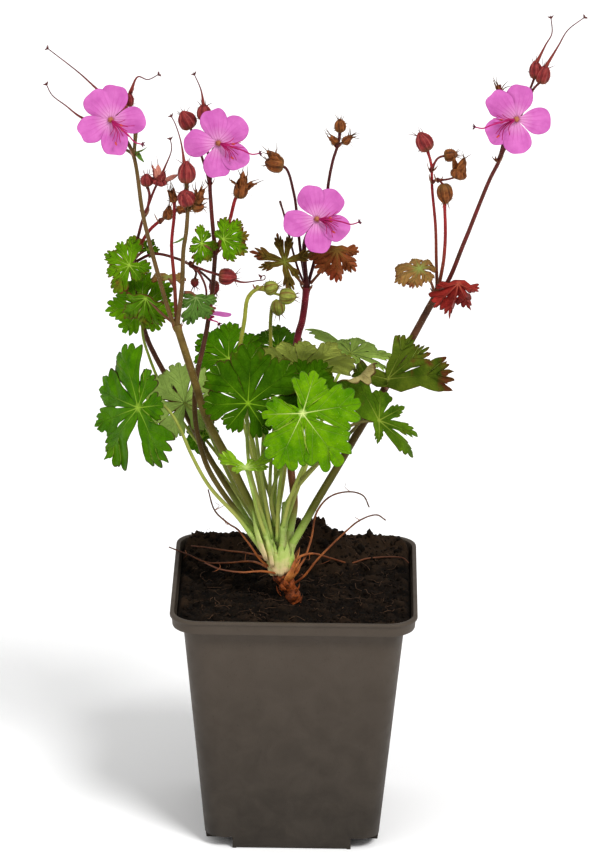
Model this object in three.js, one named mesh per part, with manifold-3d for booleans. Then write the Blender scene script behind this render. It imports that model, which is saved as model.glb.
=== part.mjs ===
// A hardy geranium in a tall square nursery pot. Millimetres, +Z up, the origin under the
// middle of the pot. The plant stands in a group of its own, with heights above the soil.
import * as THREE from 'three';
import { mergeVertices } from 'three/addons/utils/BufferGeometryUtils.js';
import Module from 'manifold-3d';

const wasm = await Module();
wasm.setup();

// Driving dimensions
const potHeight = 95;
const rimWidth = 90;
const rimDepth = 5.3;
const footWidth = 63.6;
const wall = 1.4;
const soilLevel = 92;
const touchGap = 0.3;
const bladeThickness = 0.8;
const petalThickness = 0.7;
const petalRadius = 12.4;
const stamenCount = 5;
const basalStalk = 0.75;

// ---------------------------------------------------------------- solids and placing

const toSolid = (geometry) => {
  const bare = geometry.clone();
  bare.deleteAttribute('normal');
  bare.deleteAttribute('uv');
  const merged = mergeVertices(bare, 1e-4);
  return new wasm.Manifold(new wasm.Mesh({
    numProp: 3,
    vertProperties: new Float32Array(merged.attributes.position.array),
    triVerts: new Uint32Array(merged.index.array),
  }));
};

const toGeometry = (solid) => {
  const mesh = solid.getMesh();
  const geometry = new THREE.BufferGeometry();
  geometry.setAttribute('position', new THREE.BufferAttribute(mesh.vertProperties, 3));
  geometry.setIndex(new THREE.BufferAttribute(mesh.triVerts, 1));
  geometry.computeVertexNormals();
  return geometry;
};

const join = (geometries) => geometries.map(toSolid).reduce((whole, piece) => whole.add(piece));

const finish = (color, roughness) => new THREE.MeshStandardMaterial({ color, roughness, metalness: 0 });

const holder = new THREE.Group();
const plant = new THREE.Group();
plant.position.z = soilLevel;

const addMesh = (group, name, geometry, material) => {
  const mesh = new THREE.Mesh(geometry, material);
  mesh.name = name;
  group.add(mesh);
};

const vector = (point) => new THREE.Vector3(...point);
const radians = THREE.MathUtils.degToRad;

// A stalk: a round section swept along a smooth curve through the route, tapered to its tip.
const stalk = (route, radius, { sides = 4, steps = 6, tip = 1 } = {}) => {
  const curve = new THREE.CatmullRomCurve3(route.map(vector), false, 'centripetal');
  const section = new THREE.Shape();
  for (let side = 0; side < sides; side += 1) {
    const angle = (2 * Math.PI * side) / sides;
    const corner = [radius * Math.cos(angle), radius * Math.sin(angle)];
    if (side === 0) section.moveTo(...corner);
    else section.lineTo(...corner);
  }
  section.closePath();
  const sweep = { steps, extrudePath: curve, bevelEnabled: false };
  const geometry = new THREE.ExtrudeGeometry(section, sweep);
  if (tip === 1) return geometry;
  const rings = curve.getSpacedPoints(steps);
  const position = geometry.attributes.position;
  const corner = new THREE.Vector3();
  for (let index = 0; index < position.count; index += 1) {
    corner.fromBufferAttribute(position, index);
    const distances = rings.map((ring) => ring.distanceTo(corner));
    const nearest = distances.indexOf(Math.min(...distances));
    const share = 1 + ((tip - 1) * nearest) / steps;
    corner.sub(rings[nearest]).multiplyScalar(share).add(rings[nearest]);
    position.setXYZ(index, corner.x, corner.y, corner.z);
  }
  return geometry;
};

// Turns a shape made facing +Z, with its middle lobe along +Y, to face a direction of the plant.
// turn is the compass of the face (0 front, 90 right), tilt its rise, roll the lobe's clock angle.
const facing = ({ turn = 0, tilt = 0, roll = 0 }, place) => {
  const [a, b, c] = [radians(turn), radians(tilt), radians(roll)];
  const outward = new THREE.Vector3(Math.sin(a) * Math.cos(b), -Math.cos(a) * Math.cos(b), Math.sin(b));
  const upward = new THREE.Vector3(-Math.sin(a) * Math.sin(b), Math.cos(a) * Math.sin(b), Math.cos(b));
  const right = new THREE.Vector3().crossVectors(upward, outward);
  const lobe = upward.clone().multiplyScalar(Math.cos(c)).addScaledVector(right, Math.sin(c));
  const across = new THREE.Vector3().crossVectors(lobe, outward);
  return new THREE.Matrix4().makeBasis(across, lobe, outward).setPosition(...place);
};

// Points a shape made along +Z from its base in a direction of the plant.
const along = (direction, place) => {
  const turn = new THREE.Quaternion().setFromUnitVectors(
    new THREE.Vector3(0, 0, 1),
    vector(direction).normalize(),
  );
  return new THREE.Matrix4().makeRotationFromQuaternion(turn).setPosition(...place);
};

// ---------------------------------------------------------------- blades

// Outlines of one side of a lobe, as [share of the way to the next lobe, share of the length].
const leafEdge = () => [[0, 1], [0.34, 0.88], [0.76, 0.8]];
const fineLeafEdge = () => [[0, 1], [0.2, 0.96], [0.36, 0.84], [0.54, 0.91], [0.82, 0.76]];
const plainLeafEdge = () => [[0, 1], [0.5, 0.86]];
const bractEdge = () => [[0, 1], [0.34, 0.78], [0.62, 0.82]];
const petalOutline = [[0, 0.985], [12, 1], [23, 0.93], [31, 0.78], [36, 0.5]];
const petalEdge = (halfGap) => petalOutline
  .map(([angle, part]) => [angle / halfGap, part])
  .filter(([share]) => share < 0.97);

// The points round a blade: for each lobe one side, its tip, the other side and the next slit.
const bladeOutline = ({ angles, lengths, edge, cut }) => angles.flatMap((here, lobe) => {
  const before = (here - (angles[lobe - 1] ?? angles.at(-1) - 360)) / 2;
  const after = ((angles[lobe + 1] ?? angles[0] + 360) - here) / 2;
  const length = lengths[lobe];
  const shorter = Math.min(length, lengths[(lobe + 1) % lengths.length]);
  const leftSide = edge(before).filter(([share]) => share > 0).reverse()
    .map(([share, part]) => ({ angle: here - share * before, length: length * part, share }));
  const rightSide = edge(after)
    .map(([share, part]) => ({ angle: here + share * after, length: length * part, share }));
  return [...leftSide, ...rightSide, { angle: here + after, length: cut(after) * shorter, share: 1 }];
});

// A blade is split alike on both faces, into a hub, a middle ring and the outline. Every lobe has
// an angle from the middle lobe and a length, and rise lifts a point of it off the flat.
const ringInset = 0.6;
const blade = ({ angles, lengths, edge, cut, rise, thickness, ring = 0.42 }) => {
  const outline = bladeOutline({ angles, lengths, edge, cut });
  const isSpoke = ({ share }) => share === 0 || share === 1;
  const ringLength = ring * Math.max(...lengths);
  const middle = outline.filter(isSpoke)
    .map((point) => ({ ...point, length: Math.min(point.length * ringInset, ringLength) }));
  const points = [{ angle: 0, length: 0, share: 0 }, ...middle, ...outline];
  const face = (lift) => points.map(({ angle, length, share }) => [
    length * Math.sin(radians(angle)),
    length * Math.cos(radians(angle)),
    rise(length, share) + lift,
  ]);
  const rows = [...face(0), ...face(-thickness)];
  const faces = [];
  const under = points.length;
  const addFace = (a, b, c) => faces.push(a, c, b, a + under, b + under, c + under);
  const firstEdge = 1 + middle.length;
  const spokes = [...outline.keys()].filter((index) => isSpoke(outline[index]));
  middle.forEach((_, place) => {
    const next = (place + 1) % middle.length;
    const span = (spokes[next] - spokes[place] + outline.length) % outline.length;
    const turnAt = Math.ceil(span / 2);
    addFace(0, 1 + place, 1 + next);
    for (let step = 0; step < span; step += 1) {
      const here = firstEdge + ((spokes[place] + step) % outline.length);
      const after = firstEdge + ((spokes[place] + step + 1) % outline.length);
      addFace(step < turnAt ? 1 + place : 1 + next, here, after);
      if (step === turnAt - 1) addFace(1 + place, after, 1 + next);
    }
  });
  outline.forEach((_, index) => {
    const here = firstEdge + index;
    const after = firstEdge + ((index + 1) % outline.length);
    faces.push(here, after, after + under, here, after + under, here + under);
  });
  const geometry = new THREE.BufferGeometry();
  geometry.setAttribute('position', new THREE.BufferAttribute(new Float32Array(rows.flat()), 3));
  geometry.setIndex(faces);
  return geometry;
};

// ---------------------------------------------------------------- pot

const sidesOfRound = 3;
const perimeter = 4 * (sidesOfRound + 1);
const corners = [[1, 1], [-1, 1], [-1, -1], [1, -1]];

// Turns a lathe's rings into rounded squares: half the width is the ring's radius.
const squareOff = (profile, cornerOf) => {
  const rings = profile.map(([width, height]) => new THREE.Vector2(width, height));
  const lathe = new THREE.LatheGeometry(rings, perimeter);
  const position = lathe.attributes.position;
  for (let turn = 0; turn <= perimeter; turn += 1) {
    const place = turn % perimeter;
    const corner = Math.floor(place / (sidesOfRound + 1));
    const angle = radians(90 * (corner + (place % (sidesOfRound + 1)) / sidesOfRound));
    const signs = corners[corner];
    profile.forEach(([width, height], ring) => {
      const round = Math.min(cornerOf(height), width);
      position.setXYZ(
        turn * profile.length + ring,
        signs[0] * (width - round) + round * Math.cos(angle),
        signs[1] * (width - round) + round * Math.sin(angle),
        height,
      );
    });
  }
  return lathe;
};

const rimHalf = rimWidth / 2;
const rimFoot = potHeight - rimDepth;
const taper = 0.0955;
const footRound = 7;
const rimRound = 10;
const bodyHalf = (height) => footWidth / 2 + taper * height;
const cornerRound = (height) => footRound + ((rimRound - footRound) * height) / potHeight;
const floorTop = 1.6;
const notchHeight = 4.5;
const notchWidth = 10;
const drainRadius = 2.2;

const potOutside = [
  [0, 0], [bodyHalf(0) - 0.8, 0], [bodyHalf(1), 1], [bodyHalf(rimFoot), rimFoot],
  [rimHalf - 0.9, rimFoot], [rimHalf - 0.5, potHeight - 1.1], [rimHalf, potHeight - 0.8],
  [rimHalf, potHeight - 0.3], [rimHalf - 0.3, potHeight],
];
const potInside = [
  [rimHalf - 1.6, potHeight], [rimHalf - 1.9, rimFoot + 1.2],
  [bodyHalf(rimFoot) - wall, rimFoot - 1.6], [bodyHalf(floorTop) - wall, floorTop], [0, floorTop],
];

// Four blocks in the corners of the foot, which stand a little proud of its outside.
const cornerBlocks = (size, height, base) => join(corners.map(([x, y]) => {
  const middle = bodyHalf(0) + 2 - size / 2;
  return new THREE.BoxGeometry(size, size, height)
    .translate(x * middle, y * middle, base + height / 2);
}));

// The floor is raised over a notch in each corner, and a drain hole opens into every notch.
const makePot = () => {
  const shell = toSolid(squareOff([...potOutside, ...potInside], cornerRound));
  const body = toSolid(squareOff([...potOutside.slice(0, 4), [0, rimFoot]], cornerRound));
  const raised = cornerBlocks(notchWidth + 2 + wall, notchHeight + wall, 0).intersect(body);
  const notches = cornerBlocks(notchWidth + 2, notchHeight + 1, -1);
  const drains = join(corners.map(([x, y]) => {
    const middle = bodyHalf(0) - notchWidth / 2 - wall;
    return new THREE.CylinderGeometry(drainRadius, drainRadius, 12, 8)
      .rotateX(Math.PI / 2)
      .translate(x * middle, y * middle, notchHeight);
  }));
  return toGeometry(shell.add(raised).subtract(notches).subtract(drains));
};
addMesh(holder, 'nursery_pot', makePot(), finish(0x554c44, 0.6));

// ---------------------------------------------------------------- soil

// Crumbs are two crossed waves, and the heap is where the plug of the young plant was set.
const crumb = (x, y) => 0.55 * Math.sin(0.83 * x + 0.4 * y) * Math.sin(0.71 * y - 0.3 * x)
  + 0.45 * Math.sin(1.9 * x - 1.1 * y) * Math.cos(1.7 * y + 0.6 * x);
const heapHeight = 15;
const heapPlace = [6, 24];
const heapSpread = [13, 9];
const heap = (x, y) => heapHeight
  * Math.exp(-(((x - heapPlace[0]) / heapSpread[0]) ** 2) - ((y - heapPlace[1]) / heapSpread[1]) ** 2);

const soilCells = 10;
const soilEdge = soilLevel - 0.5;
const insideFit = wall + touchGap + 0.1;
const soilLayers = [
  { height: floorTop + touchGap, half: bodyHalf(floorTop) - insideFit },
  { height: rimFoot - 1.8, half: bodyHalf(rimFoot) - insideFit },
  { height: soilEdge, half: rimHalf - 2.6 },
];

// Carries a point of a square onto the rounded square of the same half width.
const roundOff = (x, y, half, round) => {
  const reach = Math.max(Math.abs(x), Math.abs(y));
  const radius = (round * reach) / half;
  const [left, up] = [Math.abs(x) - reach + radius, Math.abs(y) - reach + radius];
  if (reach === 0 || left <= 0 || up <= 0) return [x, y];
  const shrink = radius / Math.hypot(left, up);
  return [Math.sign(x) * (reach - radius + left * shrink),
    Math.sign(y) * (reach - radius + up * shrink)];
};

const makeSoil = () => {
  const block = new THREE.BoxGeometry(2, 2, 2, soilCells, soilCells, 2);
  const position = block.attributes.position;
  for (let index = 0; index < position.count; index += 1) {
    const { height, half } = soilLayers[Math.round(position.getZ(index)) + 1];
    const [u, v] = [position.getX(index), position.getY(index)];
    const [x, y] = roundOff(u * half, v * half, half, cornerRound(height) + touchGap);
    const rim = Math.max(Math.abs(u), Math.abs(v)) > 0.99;
    const relief = height < soilEdge || rim ? 0 : 0.5 + crumb(x, y) + heap(x, y);
    position.setXYZ(index, x, y, height + relief);
  }
  const raisedFloor = cornerBlocks(notchWidth + 2 + wall + 0.8, notchHeight + wall + 0.8, -0.5);
  return toSolid(block).subtract(raisedFloor);
};

// ---------------------------------------------------------------- rootstock and roots

const rootstockRoute = [[-5, -16, 11.5], [-3.5, -16, 8.5], [-1.5, -15.5, 4.5], [0, -15.5, -0.5],
  [0.5, -15.5, -9.5]];
const roots = [
  [[-2, -16.5, 11], [0.5, -12, 15], [5.5, -4, 14.5], [13.5, 12, 6], [20.5, 18, 2.5], [27.5, 22, 2.5],
    [39.5, 23, 3], [42, 18, 2.5]],
  [[-1.5, -15.5, 6], [3, -18, 11], [8.5, -19, 18], [17, -18, 27], [24, -16, 32], [29.5, -15, 33.5],
    [33, -15, 32]],
  [[-2.5, -14.5, 8.5], [3, -7, 12.5], [5.5, -1, 18.5], [8, 1, 28.5], [12, 2, 34], [20, 2, 37],
    [25, 2, 35], [27, 2, 30.5]],
  [[-4.5, -16.5, 10], [-10, -12, 12.5], [-16.5, 0, 9], [-25.5, 12, 4], [-33, 17, 2], [-40.5, 23, 3],
    [-47.5, 27, 4]],
  [[-5, -17, 11], [-12, -24, 15], [-19.5, -27, 15.5], [-27, -28, 17], [-32.5, -28, 19.5]],
  [[-4.5, -14, 9.5], [-10, -4, 11.5], [-18.5, 8, 9], [-26, 14, 8], [-33, 18, 7.5], [-39, 21, 7]],
  [[-5, -16, 11.5], [-12, -19, 16.5], [-16.5, -20, 23.5], [-21, -18, 28.5], [-24.5, -15, 30],
    [-29.5, -10, 33.5], [-32, -7, 40]],
];

const rootstockRadius = 3.4;
const makeRootstock = (gap = 0) => {
  const body = stalk(rootstockRoute, rootstockRadius + gap, { sides: 8, steps: 5, tip: 0.6 });
  const threads = roots.map((route) => stalk(route, 0.55 + gap, { sides: 3, steps: 7, tip: 0.7 }));
  return join([body, ...threads]);
};
const rootstock = makeRootstock();
const holeRadius = rootstockRadius + touchGap + 0.1;
const rootstockHole = stalk(rootstockRoute, holeRadius, { sides: 8, steps: 5, tip: 0.68 });
const soil = makeSoil().subtract(toSolid(rootstockHole.translate(0, 0, soilLevel)));
addMesh(holder, 'potting_soil', toGeometry(soil), finish(0x17110c, 0.95));
addMesh(plant, 'rootstock_and_roots', toGeometry(rootstock), finish(0x9a5424, 0.75));

// ---------------------------------------------------------------- basal leaves

const leafGreen = finish(0x4f9a1c, 0.55);
const crownFoot = vector([-5, -16, 13]);
const feet = [];

const basalSlit = 0.2;

// Remembers where a stalk leaves the crown, so that the crown can meet it face to face.
const standOnCrown = (route, radius, steps, sides) => feet.push({ route, radius, steps, sides });

const evenly = (count, step) => {
  const middle = (count - 1) / 2;
  return [...Array(count).keys()].map((index) => (index - middle) * step);
};

// A leaf: its stalk ends inside the middle of its blade. step is the angle between lobes, cut the
// depth of the slits, cup the curl of the whole blade, and crease the sag between its lobes.
const leafSolid = ({
  route, size, face, lengths, angles, radius = basalStalk, steps = 6, step = 48, cut = 0.42,
  edge = leafEdge, cup = 0, crease = 0.08,
}) => {
  const sheet = blade({
    angles: angles ?? evenly(lengths.length, step),
    lengths: lengths.map((length) => length * size),
    edge,
    cut: (halfGap) => (halfGap > step * 0.55 ? basalSlit : cut),
    rise: (length, share) => cup * (length ** 2 / size) - crease * length * share,
    thickness: bladeThickness,
  });
  const place = facing(face, route.at(-1));
  sheet.applyMatrix4(place);
  const seat = new THREE.Vector3(0, 0, -0.55 * bladeThickness).applyMatrix4(place).toArray();
  return join([sheet, stalk([...route.slice(0, -1), seat], radius, { steps, tip: 0.45 })]);
};

const basalLeaves = {
  leaf_01_left: {
    route: [[-16, -21, 28], [-20.5, -21.5, 34.5], [-31, -24, 47.5], [-37.5, -26, 60.5],
      [-41.5, -27, 70.5], [-45.5, -26, 77], [-50.5, -24, 80], [-57, -24, 77.5]],
    size: 26,
    face: { turn: -50, tilt: 12, roll: 250 },
    lengths: [0.47, 0.95, 1.1, 0.9, 0.8, 0.92, 0.56],
    angles: [-145, -110, -41, 0, 40, 87, 128],
    edge: fineLeafEdge,
    steps: 8,
  },
  leaf_02_centre: {
    route: [[-11, -20, 32], [-13.5, -22, 42], [-16.5, -23, 54], [-17.5, -25, 66], [-18, -26, 74],
      [-18, -28, 80.5]],
    size: 22,
    face: { turn: 5, tilt: 30, roll: 5 },
    lengths: [0.62, 0.75, 0.88, 1, 0.95, 0.88, 0.72],
    edge: fineLeafEdge,
  },
  leaf_03_front: {
    route: [[-4.5, -21, 30.5], [-2, -26, 43.5], [1.5, -31, 55], [4.5, -34, 64], [5, -34, 71.5],
      [2.5, -36, 80.5]],
    size: 23,
    face: { turn: 0, tilt: 25, roll: 142 },
    lengths: [0.7, 0.93, 1, 0.95, 0.64],
    step: 63,
    edge: fineLeafEdge,
    cup: -0.1,
  },
  leaf_04_underside: {
    route: [[-14, -14, 30], [-22, -9, 41.5], [-27, -5, 50.5], [-32.5, -2, 61.5], [-36, -1, 66.5],
      [-41, 1, 70.5]],
    size: 16,
    face: { turn: 180, tilt: -35, roll: 10 },
    lengths: [0.8, 0.92, 1, 1, 1, 0.92, 0.85],
    cup: 0.15,
  },
  leaf_05_back_left: {
    route: [[-11.5, -9, 30.5], [-14, 0, 41.5], [-19, 12, 56.5], [-23, 20, 69], [-25.5, 24, 80]],
    size: 14.5,
    face: { turn: 0, tilt: 55, roll: 0 },
    lengths: [0.5, 0.85, 0.98, 1, 0.95, 0.85, 0.5],
    edge: plainLeafEdge,
  },
  leaf_06_back: {
    route: [[-6.5, -10, 31.5], [-4.5, -4, 43], [-2.5, 1, 60.5], [0, 4, 75], [1, 6, 83.5]],
    size: 18,
    face: { turn: 175, tilt: 35, roll: 0 },
    lengths: [0.75, 1, 1, 0.95, 0.85, 0.75, 0.5],
    cup: 0.1,
    cut: 0.6,
  },
  leaf_07_tent: {
    route: [[-3.5, -12, 29.5], [0.5, -8, 40.5], [7, 3, 56], [13, 11, 74], [19.5, 17, 85.5]],
    size: 21,
    face: { turn: 170, tilt: 45, roll: -75 },
    lengths: [0.45, 0.65, 0.92, 0.65, 1.1, 0.55, 0.4],
    angles: [-75, -35, 0, 45, 97, 145, 205],
    cup: -0.12,
  },
  leaf_09_right: {
    route: [[-4, -14, 36.5], [1.5, -15, 45.5], [10.5, -16, 57], [17.5, -17, 67.5], [23, -17, 71],
      [29.5, -16, 72]],
    size: 19,
    face: { turn: 20, tilt: 30, roll: 125 },
    lengths: [0.7, 0.62, 0.78, 1.02, 0.72, 0.55, 0.45],
    cup: -0.22,
  },
  leaf_10_behind: {
    route: [[-6.5, -16, 32], [-5.5, -15, 47], [-2, -10, 64.5], [2.5, -6, 78.5]],
    size: 13.5,
    face: { turn: 0, tilt: 15, roll: 40 },
    lengths: [0.5, 0.7, 0.85, 1, 1, 0.85, 0.5],
    edge: plainLeafEdge,
  },
  leaf_11_unfolding: {
    route: [[-10.5, -22, 27.5], [-13.5, -26, 38.5], [-15.5, -30.5, 49], [-17.5, -33, 58.5]],
    size: 9.5,
    face: { turn: 0, tilt: 75, roll: 0 },
    lengths: [0.9, 0.8, 0.7, 0.9, 1],
    cup: 0.3,
    step: 60,
    edge: plainLeafEdge,
  },
  leaf_12_small: {
    route: [[-13, -6, 30], [-20.5, 0, 38], [-28, 5, 48], [-34.5, 8, 55]],
    size: 8,
    face: { turn: -30, tilt: 20, roll: -60 },
    lengths: [0.7, 0.9, 1, 0.9, 0.7],
    step: 60,
    edge: plainLeafEdge,
  },
  leaf_13_far: {
    route: [[-10.5, -5, 31], [-12.5, 8, 42.5], [-11.5, 24, 60], [-7.5, 37, 80]],
    size: 12,
    face: { turn: 0, tilt: 60, roll: 0 },
    lengths: [0.6, 0.8, 0.9, 1, 0.9, 0.8, 0.6],
    edge: plainLeafEdge,
  },
  leaf_14_upper_left: {
    route: [[-15.5, -8, 29.5], [-26, 1, 41.5], [-41, 8, 59.5], [-50, 10, 74.5], [-54.5, 10, 86],
      [-56.5, 9, 94], [-56.5, 7, 105.5]],
    size: 13.5,
    face: { turn: 0, tilt: 10, roll: 0 },
    lengths: [0.9, 1, 0.95, 1, 1, 0.95, 0.8],
    radius: 0.65,
    steps: 9,
  },
};

Object.entries(basalLeaves).forEach(([name, shape]) => {
  standOnCrown(shape.route, shape.radius ?? basalStalk, shape.steps ?? 6, 4);
  addMesh(plant, name, toGeometry(leafSolid(shape)), leafGreen);
});

// ---------------------------------------------------------------- calyces and dried heads

// A bud of five sepals, its base sunk over the end of the stalk. The wide ones show their ribs.
const ribbedWidth = 5.3;
const ribDepth = 0.09;
const budOverlap = 0.12;
const budProfile = [[0, 0], [0.42, 0.12], [0.5, 0.45], [0.26, 0.82], [0, 1]];
const bud = (place, direction, length, width) => {
  const outline = budProfile.map(([across, rise]) => new THREE.Vector2(across * width, rise * length));
  const lathe = new THREE.LatheGeometry(outline, width > ribbedWidth ? 10 : 5).rotateX(Math.PI / 2);
  const position = lathe.attributes.position;
  for (let index = 0; index < position.count; index += 1) {
    const [x, y] = [position.getX(index), position.getY(index)];
    const rib = 1 + ribDepth * Math.cos(5 * Math.atan2(y, x));
    position.setXYZ(index, x * rib, y * rib, position.getZ(index));
  }
  return lathe.translate(0, 0, -budOverlap * length).applyMatrix4(along(direction, place));
};

const style = (route) => stalk(route, 0.38, { sides: 3, steps: 3, tip: 0.75 });

// A leafy stem's stalks, its buds and dried heads, and the calyx behind each open flower.
const mainStem = 0.9;
const stemSteps = (route) => Math.max(2, route.length - 1);
const stemStalk = ([route, radius, tip = 0.8, flower]) => {
  const shape = { sides: radius > mainStem ? 5 : 4, steps: stemSteps(route), tip };
  if (!flower) return [stalk(route, radius, shape)];
  const end = behind(flowers[flower], petalBack + calyxDepth / 2);
  return [stalk([...route, end], radius, shape), calyx(flowers[flower])];
};

const stemSolid = ({ stems, buds, styles = [] }) => join([
  ...stems.flatMap(stemStalk),
  ...buds.map(([place, direction, length, width]) => bud(place, direction, length, width)),
  ...styles.map((route) => style(route)),
]);

// ---------------------------------------------------------------- flowering stems

// Each flower: its middle, its face, the clock angles of its petals, and where its style leans.
const flowers = {
  flower_1: {
    place: [-66.5, -18, 183.5],
    face: { turn: -5, tilt: 18 },
    petals: [-41, 6, 89, 168, 242],
    lean: 125,
  },
  flower_2: {
    place: [-29, 0, 170],
    face: { turn: 5, tilt: 15 },
    petals: [-11, 51, 129, 185, 270],
    lean: 105,
  },
  flower_3: {
    place: [6.5, 14, 137.5],
    face: { turn: 5, tilt: 18 },
    petals: [-16, 39, 116, 178, 259],
    lean: 96,
  },
  flower_4: {
    place: [77.5, -4, 181.5],
    face: { turn: -5, tilt: 15 },
    petals: [5, 89, 176, 234, 310],
    lean: 257,
  },
  flower_5: {
    place: [-33.5, -1.5, 106],
    face: { turn: 0, tilt: -95 },
    petals: [45, 95, 165, 235, 275],
    lean: 60,
    lengths: [3, 9.5, 3, 7, 8.5],
    faded: 0.4,
  },
};

// A point on the flower's axis, this far behind the front of its petals.
const behind = ({ place, face }, depth) => new THREE.Vector3(0, 0, -depth)
  .applyMatrix4(facing(face, place)).toArray();
const petalBack = petalThickness + touchGap;
const calyxDepth = 2.6;
const calyx = (flower) => stalk(
  [behind(flower, petalBack + calyxDepth), behind(flower, petalBack)],
  0.75,
  { sides: 5, steps: 1, tip: 2.2 },
);

const stemBrown = finish(0x6a3f38, 0.55);
const stemOlive = finish(0x83802f, 0.55);
const stemCrimson = finish(0x7b2438, 0.5);

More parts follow.
